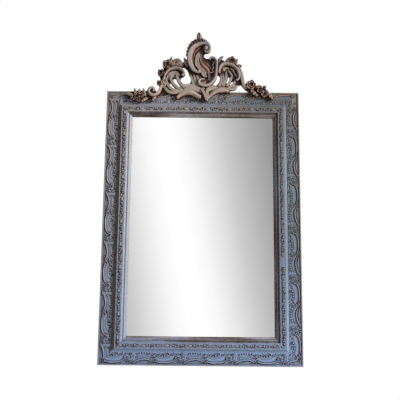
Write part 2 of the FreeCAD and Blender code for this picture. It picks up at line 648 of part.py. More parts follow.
def base_leaves():
    leaves = []
    for row, share in zip(BASE_LEAF_SHARES, BASE_LEAF_WIDTH_SHARES):
        sizes = (WING_HALF_W * share, WING_BASE * share, WING_RISE * share)
        leaves.append(crest_band(row, *sizes, LEAF_WIDTH_SHARES))
    return Part.makeCompound(leaves)


def support_rows():
    return list(zip([CREST_SPAN * share for share in SUPPORT_MID_SHARES], SUPPORT_WIDTHS, SUPPORT_HEIGHTS))


def support_blocks():
    return Part.makeCompound([
        Part.makeBox(width, SUPPORT_DEPTH, height, Vector(x - width / 2, -GROUND_BACK, FRAME_H))
        for x, width, height in support_rows()])


def crest_dowels():
    length = DOWEL_IN_RAIL + DOWEL_IN_SUPPORT
    return Part.makeCompound([
        Part.makeCylinder(DOWEL_R, length, Vector(x, -DOWEL_V, FRAME_H - DOWEL_IN_RAIL))
        for x, width, height in support_rows()])


def crest_screws():
    body = screw(CREST_SCREW_HEAD_R, SCREW_HEAD_T, CREST_SCREW_R, SUPPORT_DEPTH + CREST_SCREW_GRIP)
    screws = []
    for x, width, height in support_rows():
        reach = width * CREST_SCREW_REACH_SHARE
        z = FRAME_H + height * CREST_SCREW_RISE_SHARE
        screws.extend(moved(body, Vector(spot, -SUPPORT_BACK, z)) for spot in (x - reach, x + reach))
    return Part.makeCompound(screws)


def frame_parts():
    nodes = {}
    outer = outer_section()
    slip = slip_section()
    leaf_run = leaf_run_section()
    top = COVE_TOP + RIDGE_RISE + FILLET_RISE + LEAF_RUN_RISE
    for side, name in enumerate(SIDES):
        length = side_length(side)
        nodes[name] = place(mitred_run(outer, length, OUTER_W, top), side)
        nodes[name + "_sight_slip"] = place(mitred_run(slip, length, SIGHT_T, top), side)
        nodes[name + "_scrolls"] = place(scroll_run(side), side)
        nodes[name + "_leaf_run"] = place(mitred_run(leaf_run, length, SIGHT_T, top), side)
    return nodes


def back_parts():
    nodes = {
        "mirror_glass": pane(REBATE_T + GLASS_GAP, GLASS_BACK, GLASS_T),
        "back_panel": pane(REBATE_T + PANEL_GAP, SLIP_BACK, PANEL_T),
        "glass_setting_blocks": setting_blocks(),
        "mitre_keys": Part.makeCompound(all_corners(mitre_key())),
        "corner_plates": Part.makeCompound(all_corners(corner_plate())),
        "corner_plate_screws": Part.makeCompound(all_corners(corner_screws()))}
    pivots = []
    for side, name in enumerate(SIDES):
        for number, share in enumerate(BUTTON_PLACE_SHARES[side_kind(side)], 1):
            s = side_length(side) * share
            nodes["%s_button_%d" % (name, number)] = place(turn_button(s), side)
            pivots.append(place(pivot_screw(s), side))
    nodes["button_screws"] = Part.makeCompound(pivots)
    screws = []
    bumpers = []
    for name, x in (("left", -HANGER_X), ("right", HANGER_X)):
        nodes[name + "_hanger_strap"] = hanger_strap(x)
        nodes[name + "_hanger_ring"] = hanger_ring(x)
        screws.extend(strap_screws(x))
        bumpers.append(wall_bumper(x))
    nodes["hanger_screws"] = Part.makeCompound(screws)
    nodes["wall_bumpers"] = Part.makeCompound(bumpers)
    return nodes


def crest_parts():
    right_arch = [crest_band(RIGHT_ARCH_SHARES, ARCH_HALF_W, ARCH_BASE, ARCH_RISE, ARCH_WIDTH_SHARES),
                  crest_band(RIGHT_STEM_SHARES, FROND_HALF_W, ARCH_BASE, FROND_RISE, FROND_WIDTH_SHARES)]
    comb = [crest_band(row, LEAF_HALF_W, LEAF_BASE, LEAF_RISE, FROND_WIDTH_SHARES) for row in COMB_SHARES]
    flutes = [crest_band(row, FLUTE_HALF_W, FLUTE_BASE, FLUTE_RISE, FROND_WIDTH_SHARES)
              for row in FLUTE_SHARES]
    return {
        "crest_ground": crest_ground(),
        "crest_main_scroll": crest_band(MAIN_SCROLL_SHARES, MAIN_SCROLL_HALF_W, MAIN_SCROLL_BASE,
                                        MAIN_SCROLL_RISE, MAIN_SCROLL_WIDTH_SHARES),
        "crest_right_scroll": crest_band(RIGHT_SCROLL_SHARES, RIGHT_SCROLL_HALF_W, RIGHT_SCROLL_BASE,
                                         RIGHT_SCROLL_RISE, RIGHT_SCROLL_WIDTH_SHARES),
        "crest_left_arch": crest_band(LEFT_ARCH_SHARES, ARCH_HALF_W, ARCH_BASE, ARCH_RISE, ARCH_WIDTH_SHARES),
        "crest_right_arch": Part.makeCompound(right_arch),
        "crest_comb": Part.makeCompound(comb),
        "crest_finial": crest_band(FINIAL_SHARES, FINIAL_HALF_W, LEAF_BASE, LEAF_RISE, LEAF_WIDTH_SHARES),
        "crest_shell": Part.makeCompound(flutes),
        "crest_left_fronds": fronds(LEFT_FROND_SHARES),
        "crest_right_fronds": fronds(RIGHT_FROND_SHARES),
        "crest_left_flowers": flowers(LEFT_ROSES, LEFT_LEAF_SHARES),
        "crest_right_flowers": flowers(RIGHT_ROSES, RIGHT_LEAF_SHARES),
        "crest_left_garland": flowers(LEFT_GARLAND_ROSES, LEFT_GARLAND_LEAF_SHARES),
        "crest_right_garland": flowers(RIGHT_GARLAND_ROSES, RIGHT_GARLAND_LEAF_SHARES),
        "crest_base_leaves": base_leaves(),
        "crest_supports": support_blocks(),
        "crest_dowels": crest_dowels(),
        "crest_screws": crest_screws()}


# What is let into each piece: its hole is cut with the fastener's own solid
LET_IN = (
    ("corner_plates", ("corner_plate_screws",)),
    ("left_hanger_strap", ("hanger_screws",)),
    ("right_hanger_strap", ("hanger_screws",)),
    ("left_stile", ("mitre_keys", "corner_plates", "corner_plate_screws", "hanger_screws")),
    ("right_stile", ("mitre_keys", "corner_plates", "corner_plate_screws", "hanger_screws")),
    ("top_rail", ("mitre_keys", "corner_plates", "corner_plate_screws", "crest_dowels")),
    ("bottom_rail", ("mitre_keys", "corner_plates", "corner_plate_screws")),
    ("left_stile_sight_slip", ("button_screws",)),
    ("right_stile_sight_slip", ("button_screws",)),
    ("top_rail_sight_slip", ("button_screws",)),
    ("bottom_rail_sight_slip", ("button_screws",)),
    ("crest_supports", ("crest_dowels", "crest_screws")),
    ("crest_ground", ("crest_screws",)))


def main():
    os.makedirs("parts", exist_ok=True)
    nodes = {}
    nodes.update(frame_parts())
    nodes.update(back_parts())
    nodes.update(crest_parts())
    for name, cutters in LET_IN:
        near = [solid for cutter in cutters for solid in nodes[cutter].Solids
                if solid.BoundBox.intersect(nodes[name].BoundBox)]
        nodes[name] = nodes[name].cut(near)
    for name, shape in nodes.items():
        shape.exportStep("parts/%s.step" % name)


main()
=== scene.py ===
import math

import bmesh
import bpy
import numpy as np
from mathutils import Matrix, Vector
from mathutils.kdtree import KDTree


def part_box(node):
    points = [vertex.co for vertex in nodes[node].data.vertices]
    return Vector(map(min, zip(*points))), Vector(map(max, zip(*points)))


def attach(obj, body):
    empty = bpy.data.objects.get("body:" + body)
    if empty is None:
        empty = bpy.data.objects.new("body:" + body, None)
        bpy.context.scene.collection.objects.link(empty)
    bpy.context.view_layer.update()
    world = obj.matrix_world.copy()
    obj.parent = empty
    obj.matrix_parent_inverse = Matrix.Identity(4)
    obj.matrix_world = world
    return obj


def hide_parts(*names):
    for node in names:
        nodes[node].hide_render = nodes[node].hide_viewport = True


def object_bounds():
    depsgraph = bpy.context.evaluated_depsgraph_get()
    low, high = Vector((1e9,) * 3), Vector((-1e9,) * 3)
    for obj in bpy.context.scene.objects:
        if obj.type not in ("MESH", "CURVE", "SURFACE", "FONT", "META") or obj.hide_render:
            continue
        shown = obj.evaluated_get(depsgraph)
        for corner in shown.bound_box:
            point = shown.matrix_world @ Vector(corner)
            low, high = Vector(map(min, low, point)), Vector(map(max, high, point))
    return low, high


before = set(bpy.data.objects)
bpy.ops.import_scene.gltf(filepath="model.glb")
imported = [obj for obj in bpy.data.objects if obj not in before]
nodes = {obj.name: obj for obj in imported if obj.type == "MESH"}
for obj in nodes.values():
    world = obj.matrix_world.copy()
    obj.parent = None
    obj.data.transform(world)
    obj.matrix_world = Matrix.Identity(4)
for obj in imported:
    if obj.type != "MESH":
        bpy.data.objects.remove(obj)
cad_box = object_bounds()

# Lengths below are in millimetres; meshes are scaled to metres when they are made.
# In the comments, t runs inwards from a side's outer edge, s along the side, v forwards from the back plane.
MM = 0.001
ROOT = "frame"

# Sizes of the frame
FRAME_W = (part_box("top_rail")[1].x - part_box("top_rail")[0].x) / MM
FRAME_H = (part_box("left_stile")[1].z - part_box("left_stile")[0].z) / MM
RIM_W = 8.0
BAND_W = 56.0
BAND_V = 34.0
COVE_W = 16.0
RIDGE_W = 5.0
LEAF_W = 22.0
LEAF_SEAT = 46.0
FILLET_W = 5.0
HOLLOW_W = 7.0
SIGHT_BEAD_W = 7.0
SLOPE_W = 10.0
BAND_END = RIM_W + BAND_W
OUTER_W = BAND_END + COVE_W
LEAF_START = OUTER_W + RIDGE_W
LEAF_END = LEAF_START + LEAF_W
FILLET_END = LEAF_END + FILLET_W
HOLLOW_END = FILLET_END + HOLLOW_W
SIGHT_BEAD_END = HOLLOW_END + SIGHT_BEAD_W
SIGHT_T = SIGHT_BEAD_END + SLOPE_W
SIDES = ("left_stile", "top_rail", "right_stile", "bottom_rail")

# Running ornament
SCROLL_PITCH = 248.0
SCROLL_PHASE_SHARES = {"left_stile": 0.57, "top_rail": 0.50, "right_stile": 0.95, "bottom_rail": 0.50}
LEAF_PITCH = 113.0
LEAF_REPEATS = 3
PEARLS = 7
LEAF_PHASE_SHARES = {"left_stile": 0.10, "top_rail": 0.55, "right_stile": 0.35, "bottom_rail": 0.80}
TILE_STEP = 0.8
STRIP_STEP = 1.5
STRIP_FOOT = 0.6
COVE_SPREAD = 15.0
LEAF_CROWN = 1.2
# Finish of the strips: how much is rubbed, how much wax and painted shadow they hold, how far it keeps to
# the hollows, and painted shade that spreads from the cove
BAND_FINISH_SHARES = {
    "left_stile": (1.0, 1.0, 1.0, 0.7),
    "top_rail": (0.9, 0.85, 1.0, 0.0),
    "right_stile": (1.0, 1.0, 1.0, 0.2),
    "bottom_rail": (0.4, 1.0, 1.0, 0.0)}
LEAF_FINISH_SHARES = {
    "left_stile": (1.0, 1.0, 1.0, 0.0),
    "top_rail": (1.4, 1.1, 3.0, 0.0),
    "right_stile": (0.9, 1.35, 1.3, 0.0),
    "bottom_rail": (0.6, 0.85, 1.2, 0.0)}
# Where ornament has come off: the edge of the loss, and the rippled ground that is left
LOSS_EDGE = 4.0
LOSS_RISE = 0.5
LOSS_RIPPLE = 0.4
LOSS_RIPPLE_RATES = (0.9, 1.3)
FLECK_SEED = 7
PEARL_SEED = 12

# Crest
CREST_SPAN = 740.0
CREST_RISE = 318.0
THOUSANDTHS = 1000
CREST_FACE = 54.0
CARVING_FOOT = 44.0
GROUND_BACK = 42.0
GROUND_V = 47.0
GROUND_STEP = 1.8
SWEEP_STEP = 2.2
SHEET_ROWS = 44
SHEET_COLUMNS = 6
LEAF_STEP = 1.5
LEAF_COLUMNS = 19
ROSE_COLUMNS = 40
BEAD_COLUMNS = 20


# Meshes

SMOOTH_ANGLE = math.radians(55)


class Carving:
    """Gathers grids of points, in x, z and v, that make up one carved piece."""

    def __init__(self):
        self.points = []
        self.faces = []
        self.wax = []
        self.rub = []
        self.count = 0

    def grid(self, x, z, v, wax, rub, ring=False):
        """Adds a grid; a ring joins the end of each row to its start and closes both ends."""
        rows, columns = x.shape
        index = np.arange(rows * columns).reshape(rows, columns) + self.count
        if ring:
            self.faces.append(index[0].tolist())
            self.faces.append(index[-1][::-1].tolist())
            index = np.concatenate([index, index[:, :1]], axis=1)
        quads = np.stack([index[:-1, :-1], index[1:, :-1], index[1:, 1:], index[:-1, 1:]], axis=-1)
        self.faces.extend(quads.reshape(-1, 4).tolist())
        self.points.append(np.stack([x, -v, z], axis=-1).reshape(-1, 3) * MM)
        self.wax.append(np.broadcast_to(wax, x.shape).reshape(-1))
        self.rub.append(np.broadcast_to(rub, x.shape).reshape(-1))
        self.count += rows * columns
        return index

    def piece(self, name, material, slot, replaced):
        mesh = bpy.data.meshes.new(name)
        mesh.from_pydata(np.concatenate(self.points).tolist(), [], self.faces)
        for label, rows in (("wax", self.wax), ("rub", self.rub)):
            layer = mesh.attributes.new(label, "FLOAT", "POINT")
            layer.data.foreach_set("value", np.concatenate(rows).astype(np.float32))
        finish_piece(name, mesh, material, replaced)


def finish_piece(name, mesh, material, replaced):
    """Turns a mesh into a piece of the frame that stands for CAD nodes."""
    bm = bmesh.new()
    bm.from_mesh(mesh)
    bmesh.ops.recalc_face_normals(bm, faces=bm.faces)
    bm.to_mesh(mesh)
    bm.free()
    mesh.polygons.foreach_set("use_smooth", [True] * len(mesh.polygons))
    mesh.set_sharp_from_angle(angle=SMOOTH_ANGLE)
    piece = bpy.data.objects.new(name, mesh)
    bpy.context.scene.collection.objects.link(piece)
    mesh.materials.append(material)
    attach(piece, ROOT)
    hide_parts(*replaced)


def smooth_line(points, count):
    """Evenly spaced points on a smooth line through the given ones."""
    points = np.asarray(points, float)
    gaps = np.linalg.norm(np.diff(points, axis=0), axis=1)
    knots = np.concatenate([[0], np.cumsum(gaps)])
    matrix = np.eye(len(points))
    right = np.zeros_like(points)
    for i in range(1, len(points) - 1):
        matrix[i, i - 1:i + 2] = gaps[i - 1], 2 * (gaps[i - 1] + gaps[i]), gaps[i]
        right[i] = 6 * ((points[i + 1] - points[i]) / gaps[i] - (points[i] - points[i - 1]) / gaps[i - 1])
    bends = np.linalg.solve(matrix, right)
    fine = np.linspace(0, knots[-1], count * 8)
    i = np.clip(np.searchsorted(knots, fine, side="right") - 1, 0, len(points) - 2)
    gap = gaps[i][:, None]
    to_next = (knots[i + 1] - fine)[:, None]
    from_last = (fine - knots[i])[:, None]
    line = (bends[i] * to_next ** 3 + bends[i + 1] * from_last ** 3) / (6 * gap)
    line += (points[i] / gap - bends[i] * gap / 6) * to_next
    line += (points[i + 1] / gap - bends[i + 1] * gap / 6) * from_last
    run = np.concatenate([[0], np.cumsum(np.linalg.norm(np.diff(line, axis=0), axis=1))])
    even = np.linspace(0, run[-1], count)
    return np.stack([np.interp(even, run, column) for column in line.T], axis=1)


def run_length(points):
    return np.linalg.norm(np.diff(np.asarray(points, float), axis=0), axis=1).sum()


def rows_at(shares, count):
    """A row of given shares, spread evenly and read at this many places."""
    return np.interp(np.linspace(0, 1, count), np.linspace(0, 1, len(shares)), shares)


def crest_points(shares):
    """Places in x and z of shares of the crest's span and rise, given in thousandths."""
    return [(CREST_SPAN * (x / THOUSANDTHS), FRAME_H + CREST_RISE * (z / THOUSANDTHS)) for x, z in shares]


def line_and_across(points, count):
    """A smooth line and, at each of its points, the direction to the right of travel."""
    line = smooth_line(points, count)
    along = np.gradient(line, axis=0)
    along /= np.linalg.norm(along, axis=1)[:, None]
    return line, np.stack([along[:, 1], -along[:, 0]], axis=1)


# Relief that repeats along the rails

class Relief:
    """Heights over a rectangle, drawn stroke by stroke. With a pitch it repeats along its first axis."""

    def __init__(self, low, high, step, pitch=None):
        self.low = low
        self.step = step
        self.pitch = pitch
        self.s, self.t = np.meshgrid(
            np.arange(low[0], high[0], step), np.arange(low[1], high[1] + step, step), indexing="ij")
        self.height = np.zeros_like(self.s)
        self.dark = np.zeros_like(self.s)
        self.worn = np.zeros_like(self.s)

    def area(self, points, reach):
        """Part of the grid within reach of some points."""
        if self.pitch:
            return np.s_[:, :]
        points = np.asarray(points, float)
        first = np.maximum((points.min(axis=0) - reach - self.low) / self.step, 0).astype(int)
        last = np.maximum((points.max(axis=0) + reach - self.low) / self.step, 0).astype(int) + 2
        return np.s_[first[0]:last[0], first[1]:last[1]]

    def away(self, area, s, t):
        ds = self.s[area] - s
        if self.pitch:
            ds = (ds + self.pitch / 2) % self.pitch - self.pitch / 2
        return ds, self.t[area] - t

    def raise_to(self, area, rise, inside):
        """Round form: at its full height where inside is 1, absent where it is 0 or less."""
        form = np.where(inside > 0, rise * np.sqrt(np.maximum(inside, 0)), -np.inf)
        self.height[area] = np.maximum(self.height[area], form)
        self.dark[area] = np.where(inside > 0.2, 0, self.dark[area])

    def dome(self, s, t, radius, rise):
        area = self.area([(s, t)], radius)
        ds, dt = self.away(area, s, t)
        self.raise_to(area, rise, 1 - (ds ** 2 + dt ** 2) / radius ** 2)

    def ring(self, s, t, radius, half_w, rise):
        area = self.area([(s, t)], radius + half_w)
        ds, dt = self.away(area, s, t)
        self.raise_to(area, rise, 1 - (np.hypot(ds, dt) - radius) ** 2 / half_w ** 2)

    def nearness(self, points, half_w, shares):
        """The area of a stroke, and how far inside it each place lies: 1 on its line, 0 and less outside."""
        count = max(int(run_length(points) / 2), 6)
        area = self.area(points, half_w * max(shares) * 1.5)
        best = np.full(self.s[area].shape, -1.0)
        for (s, t), share in zip(smooth_line(points, count), rows_at(shares, count)):
            ds, dt = self.away(area, s, t)
            best = np.maximum(best, 1 - (ds ** 2 + dt ** 2) / (half_w * share) ** 2)
        return area, best

    def ridge(self, points, half_w, rise, shares=(0.6, 1, 1, 0.6)):
        area, inside = self.nearness(points, half_w, shares)
        self.raise_to(area, rise, inside)

    def trench(self, points, half_w, depth, shares=(1, 1)):
        area, inside = self.nearness(points, half_w, shares)
        self.height[area] -= depth * np.clip(inside, 0, 1) ** 0.5

    def stain_and_shadow(self, points, half_w, strength):
        """Dark wax and painted shadow along a line."""
        area, inside = self.nearness(points, half_w, (1, 1))
        self.dark[area] = np.maximum(self.dark[area], strength * np.clip(inside * 3, 0, 1))

    def wear(self, points, half_w, strength):
        """Rubbed paint along a line."""
        area, inside = self.nearness(points, half_w, (1, 1))
        self.worn[area] = np.maximum(self.worn[area], strength * np.clip(inside * 2, 0, 1))

    def drop(self, start, end, half_w, rise):
        """Leaf-shaped drop with a vein, from its stalk to its tip."""
        middle = tuple((a + b) / 2 for a, b in zip(start, end))
        self.ridge((start, middle, end), half_w, rise, (0.35, 1, 0.8, 0.15))
        self.trench((start, middle, end), half_w * 0.22, rise * 0.35)

    def beads(self, points, count, radius, rise):
        for s, t in smooth_line(points, count):
            self.dome(s, t, radius, rise)

    def blurred(self, layer, size):
        reach = int(size / self.step)
        for axis in (0, 1):
            parts = [np.roll(np.pad(layer, ((0, 0), (reach, reach)), mode="edge"), step, axis)
                     for step in range(-reach, reach + 1)]
            layer = np.mean(parts, axis=0)[:, reach:-reach]
        return layer

    def finish(self, size, wax_depth, rub_from, rub_to):
        """Works out where dark wax and painted shadow lie and where the paint is rubbed off."""
        over = self.height - self.blurred(self.height, size)
        self.wax = np.clip(-over / wax_depth + self.dark, 0, 1)
        self.rub = np.clip((over - rub_from) / (rub_to - rub_from) + self.worn, 0, 1)

    def read(self, layer, s, t):
        """Value of a repeating layer at any place, blended between its cells."""
        rows, columns = layer.shape
        a = (s / self.pitch % 1) * rows
        b = np.clip((t - self.low[1]) / self.step, 0, columns - 1.001)
        i = a.astype(int) % rows
        j = b.astype(int)
        da = a - np.floor(a)
        db = b - j
        following = (i + 1) % rows
        return ((layer[i, j] * (1 - da) + layer[following, j] * da) * (1 - db)
                + (layer[i, j + 1] * (1 - da) + layer[following, j + 1] * da) * db)


# Ornament of the band over one pitch: places along and across it, half widths, rises and depths
BAND_GROUND = 1.6
DOT_HALF = 1
SCROLL_LINES = (
    ((0, 38), (4, 30), (14, 22), (34, 16.5), (58, 15), (78, 16), (94, 20)),
    ((116, 19), (126, 25), (145, 30.5), (166, 29.5), (186, 24.5), (200, 18), (206, 13.5), (199, 12),
     (195, 15)))
SCROLL_SIZE = (4.0, 7.8)
SCROLL_TRENCH_SIZE = (7.0, 1.3)
SCROLL_SHADOW_HALF_W = 6.4
SCROLL_SHADOW_SHIFT = 1.8
SCROLL_WORN_HALF_W = 2.8
# Lesser lines and their half widths
STEM_LINES = (
    (((128, 15), (143, 19.5), (160, 20), (178, 15.5)), 2.0),
    (((120, 40), (136, 45.5), (154, 47.5), (172, 45.5), (188, 40)), 2.6),
    (((24, 50), (30, 43), (44, 37.5), (62, 36), (78, 38), (89, 45)), 2.6))
STEM_RISE = 4.0
STEM_SHADOW_W = 2.4
# Strings of beads and how many beads each holds
BEAD_STRINGS = (
    (((112, 50), (132, 57), (154, 59), (176, 57), (196, 50)), 8),
    (((32, 56), (46, 48), (62, 46), (78, 49), (88, 56)), 6),
    (((98, 24), (106, 31), (112, 38)), 3),
    (((212, 14), (228, 13), (244, 14)), 4))
STRING_BEAD_SIZE = (3.8, 4.6)
STRING_GAP_SIZE = (4.4, 1.6)
STRING_SHADOW_HALF_W = 4.6
# Bosses: place, radius, rise
BOSSES = (
    (0, 39, 5.6, 8.0), (96, 21, 4.4, 7.0), (207, 14, 4.2, 7.0), (104, 17, 3.4, 6.0), (111, 22, 2.8, 5.0),
    (22, 52, 3.4, 5.0), (91, 47, 3.4, 5.0), (116, 39, 3.2, 5.0), (191, 38, 3.4, 5.0), (60, 55, 3.0, 4.2))
BOSS_SHADOW_W = 3.0
# Sprays of leaves: place, lean, number of leaves, length, spread
SPRAYS = (
    ((104, 46), 0.5, 3, 13, 1.0), ((212, 26), 0.25, 3, 20, 0.9), ((210, 50), 0.2, 3, 15, 1.1),
    ((6, 54), 0.5, 2, 12, 0.8), ((236, 48), -0.4, 3, 12, 1.3))
SPRAY_SQUASH_SHARE = 0.8
SPRAY_LEAF_SIZE = (3.4, 5.2)
SPRAY_SHADOW_HALF_W = 5.0
# Flecks of foliage: stretch along, stretch across, how many
FOLIAGE = ((98, 118, 22, 60, 12), (208, 246, 12, 60, 26), (22, 92, 48, 60, 6), (116, 196, 50, 60, 4))
FLECK_LEAN = 1.2
FLECK_LENGTHS = (3, 7)
FLECK_SIZE = (2.2, 4.4)
FLECK_SHIFT = 3.0
FLECK_SHADOW_HALF_W = 3.4
# Ring among the foliage
RING_PLACE = (230, 34)
RING_RADIUS = 3.8
RING_SIZE = (1.8, 4.6)
RING_SHADOW_HALF_W = 6.5
# Fine beads along both edges, and the dark line beside the outer one
EDGE_BEAD_IN = 1.4
EDGE_BEAD_HALF_W = 1.3
EDGE_BEAD_RISE = 2.4
EDGE_LINE_IN = 3.6
EDGE_LINE_HALF_W = 2
EDGE_WAX_SHARE = 0.85


def dot(s, t):
    """Short stroke at one place."""
    return (s - DOT_HALF, t), (s + DOT_HALF, t)


def band_relief():
    """One pitch of the rails' ornament: two scrolls on a plain ground, beads, leaves and flecks."""
    relief = Relief((0, RIM_W), (SCROLL_PITCH, BAND_END), TILE_STEP, SCROLL_PITCH)
    relief.height += BAND_GROUND
    # Each stroke gets painted shadow stained beside it before it is raised.
    for line in SCROLL_LINES:
        relief.stain_and_shadow([(s, t - SCROLL_SHADOW_SHIFT) for s, t in line], SCROLL_SHADOW_HALF_W, 1.0)
        relief.trench(line, *SCROLL_TRENCH_SIZE)
        relief.ridge(line, *SCROLL_SIZE, (0.5, 1, 1, 1, 0.5))
        relief.wear(line, SCROLL_WORN_HALF_W, 1.0)
    for line, half_w in STEM_LINES:
        relief.stain_and_shadow(line, half_w + STEM_SHADOW_W, 0.6)
        relief.ridge(line, half_w, STEM_RISE, (0.7, 1, 1, 0.7))
    for line, count in BEAD_STRINGS:
        for s, t in smooth_line(line, count * 2 - 1)[1::2]:
            relief.stain_and_shadow(dot(s, t), STRING_SHADOW_HALF_W, 1.0)
            relief.trench(dot(s, t), *STRING_GAP_SIZE)
        relief.beads(line, count, *STRING_BEAD_SIZE)
    for s, t, radius, rise in BOSSES:
        relief.stain_and_shadow(dot(s, t), radius + BOSS_SHADOW_W, 1.0)
        relief.dome(s, t, radius, rise)
        relief.wear(dot(s, t), radius, 0.8)
    for (s, t), lean, count, length, spread in SPRAYS:
        for index in range(count):
            angle = lean + spread * (index / (count - 1) - 0.5) * 2
            tip = (s + length * math.cos(angle), t + length * math.sin(angle) * SPRAY_SQUASH_SHARE)
            middle = ((s + tip[0]) / 2, (t + tip[1]) / 2)
            relief.stain_and_shadow(((s, t), middle, tip), SPRAY_SHADOW_HALF_W, 0.85)
            relief.drop((s, t), tip, *SPRAY_LEAF_SIZE)
    random = np.random.default_rng(FLECK_SEED)
    shortest, longest = FLECK_LENGTHS
    for s_low, s_high, t_low, t_high, count in FOLIAGE:
        lows = (s_low, t_low, -FLECK_LEAN, shortest)
        highs = (s_high, t_high, FLECK_LEAN, longest)
        for s, t, angle, length in random.uniform(lows, highs, (count, 4)):
            run = np.array((math.cos(angle), math.sin(angle))) * length / 2
            spot = np.array((s, t))
            line = (spot - run, spot, spot + run)
            relief.stain_and_shadow(line, FLECK_SHADOW_HALF_W, 0.9)
            relief.ridge([place + FLECK_SHIFT for place in line], *FLECK_SIZE)
    relief.stain_and_shadow(dot(*RING_PLACE), RING_SHADOW_HALF_W, 0.7)
    relief.ring(*RING_PLACE, RING_RADIUS, *RING_SIZE)
    for t in (RIM_W + EDGE_BEAD_IN, BAND_END - EDGE_BEAD_IN):
        relief.raise_to(np.s_[:, :], EDGE_BEAD_RISE, 1 - ((relief.t - t) / EDGE_BEAD_HALF_W) ** 2)
    edge_line = EDGE_LINE_HALF_W - np.abs(relief.t - RIM_W - EDGE_LINE_IN)
    relief.dark = np.maximum(relief.dark, np.clip(edge_line, 0, EDGE_WAX_SHARE))
    relief.finish(size=4.0, wax_depth=3.4, rub_from=2.2, rub_to=5.0)
    return relief


# Ornament of the slip: leaf drops, and pearls that stray along and across and differ in radius
LEAF_GROUND = 1.0
LEAF_GROUND_HALF_W = 10.0
LEAF_WORN_HALF_W = 7.0
DROP_STRAY = 1.5
DROP_L = 19
DROP_SIZE = (5.4, 6.2)
DROP_SHADOW = (-3, 8)
DROP_SHADOW_HALF_W = 7.0
DROP_WORN = (7, 18)
DROP_WORN_HALF_W = 4.0
PEARL_START = 28
PEARL_GAP = 12.6
PEARL_LEAST = (-3.0, -4.0, 2.8)
PEARL_MOST = (3.0, 4.0, 5.0)
PEARL_RISE = 4.8
PEARL_SHADOW_W = 3.0
# Notch behind each pearl: how far along, and how far across as a share of the pearl's straying
NOTCH_SHARES = ((4, 1.4), (8, 1.8))
NOTCH_HALF_W = 4.8


def leaf_relief():
    """Three pitches of the slip's ornament: leaf drops and chains of uneven pearls between notches."""
    run = LEAF_PITCH * LEAF_REPEATS
    relief = Relief((0, LEAF_START), (run, LEAF_END), TILE_STEP, run)
    middle = (LEAF_START + LEAF_END) / 2
    whole = ((0, middle), (run / 2, middle), (run, middle))
    relief.height += LEAF_GROUND
    relief.stain_and_shadow(whole, LEAF_GROUND_HALF_W, 0.50)
    drops = []
    pearls = []
    random = np.random.default_rng(PEARL_SEED)
    for repeat in range(LEAF_REPEATS):
        start = LEAF_PITCH * repeat
        drops.append((start, middle + random.uniform(-DROP_STRAY, DROP_STRAY)))
        for number in range(PEARLS):
            along, across, size = random.uniform(PEARL_LEAST, PEARL_MOST)
            pearls.append((start + PEARL_START + PEARL_GAP * number + along, across, size))
    # Painted shadow round each pearl, and dark wax in the notch behind it.
    for s, across, radius in pearls:
        relief.stain_and_shadow(dot(s, middle + across), radius + PEARL_SHADOW_W, 0.9)
        notch = [(s + along, middle - share * across) for along, share in NOTCH_SHARES]
        relief.stain_and_shadow(notch, NOTCH_HALF_W, 1.0)
    for s, t in drops:
        relief.stain_and_shadow([(s + along, t) for along in DROP_SHADOW], DROP_SHADOW_HALF_W, 0.95)
        relief.drop((s, t), (s + DROP_L, t), *DROP_SIZE)
        relief.wear([(s + along, t) for along in DROP_WORN], DROP_WORN_HALF_W, 1.0)
    for s, across, radius in pearls:
        relief.dome(s, middle + across, radius, PEARL_RISE)
    relief.wear(whole, LEAF_WORN_HALF_W, 0.35)
    relief.finish(size=4.0, wax_depth=2.8, rub_from=1.2, rub_to=3.6)
    return relief


def on_side(side, s, t):
    """Place on the front of the frame, in x and z, of a point given along and across a side."""
    if side == "left_stile":
        return -FRAME_W / 2 + t, s
    if side == "top_rail":
        return -FRAME_W / 2 + s, FRAME_H - t
    if side == "right_stile":
        return FRAME_W / 2 - t, FRAME_H - s
    return FRAME_W / 2 - s, t


def relief_strip(name, side, relief, span, seat, start, replaced, finish, crown=0.0, losses=()):
    """Strip of repeating relief along one side, mitred at both ends and let a little into the wood."""
    t_low, t_high = span
    wear, stain_and_shadow, keep, shade = finish
    length = FRAME_H if side.endswith("stile") else FRAME_W
    rows = int(length / STRIP_STEP)
    columns = int((t_high - t_low) / STRIP_STEP) + 2
    t = np.linspace(t_low, t_high, columns)[None, :]
    s = t + np.linspace(0, 1, rows)[:, None] * (length - 2 * t)
    t = np.broadcast_to(t, s.shape)
    height = relief.read(relief.height, s - start, t)
    wax = stain_and_shadow * np.clip(relief.read(relief.wax, s - start, t), 0, 1) ** keep
    # Painted shade that spreads onto the band from the cove, stronger on some sides.
    wax = np.clip(wax + shade * np.clip((t - t_high) / COVE_SPREAD + 1, 0, 1), 0, 1)
    rub = wear * relief.read(relief.rub, s - start, t)
    for low, high, across_to, bareness in losses:
        lost = np.clip(np.minimum(np.minimum(s - low, high - s), across_to - t) / LOSS_EDGE, 0, 1)
        ripple = LOSS_RIPPLE * np.sin(s * LOSS_RIPPLE_RATES[0]) * np.sin(t * LOSS_RIPPLE_RATES[1])
        height = height * (1 - lost) + (LOSS_RISE + ripple) * lost
        wax = wax * (1 - lost)
        rub = rub * (1 - lost) + bareness * lost
    across = (t - t_low) / (t_high - t_low) * 2 - 1
    height = height + crown * np.sqrt(np.clip(1 - across ** 2, 0, 1))
    edge = ((1, 1), (1, 1))
    x, z = on_side(side, np.pad(s, edge, mode="edge"), np.pad(t, edge, mode="edge"))
    v = np.pad(seat + height, edge, constant_values=seat - STRIP_FOOT)
    carving = Carving()
    index = carving.grid(x, z, v, np.pad(wax, edge, mode="edge"), np.pad(rub, edge, mode="edge"))
    ends = index[:, [0, -1]]
    carving.faces.extend(np.stack([ends[:-1, 0], ends[:-1, 1], ends[1:, 1], ends[1:, 0]], axis=-1).tolist())
    carving.piece(name, materials["ornament"], "painted_ornament", [replaced])


# Carved shapes of the crest

def mirrored(half, middle=()):
    """Section that is alike on both sides of its middle."""
    return half + middle + tuple((-place, *rest) for place, *rest in reversed(half))
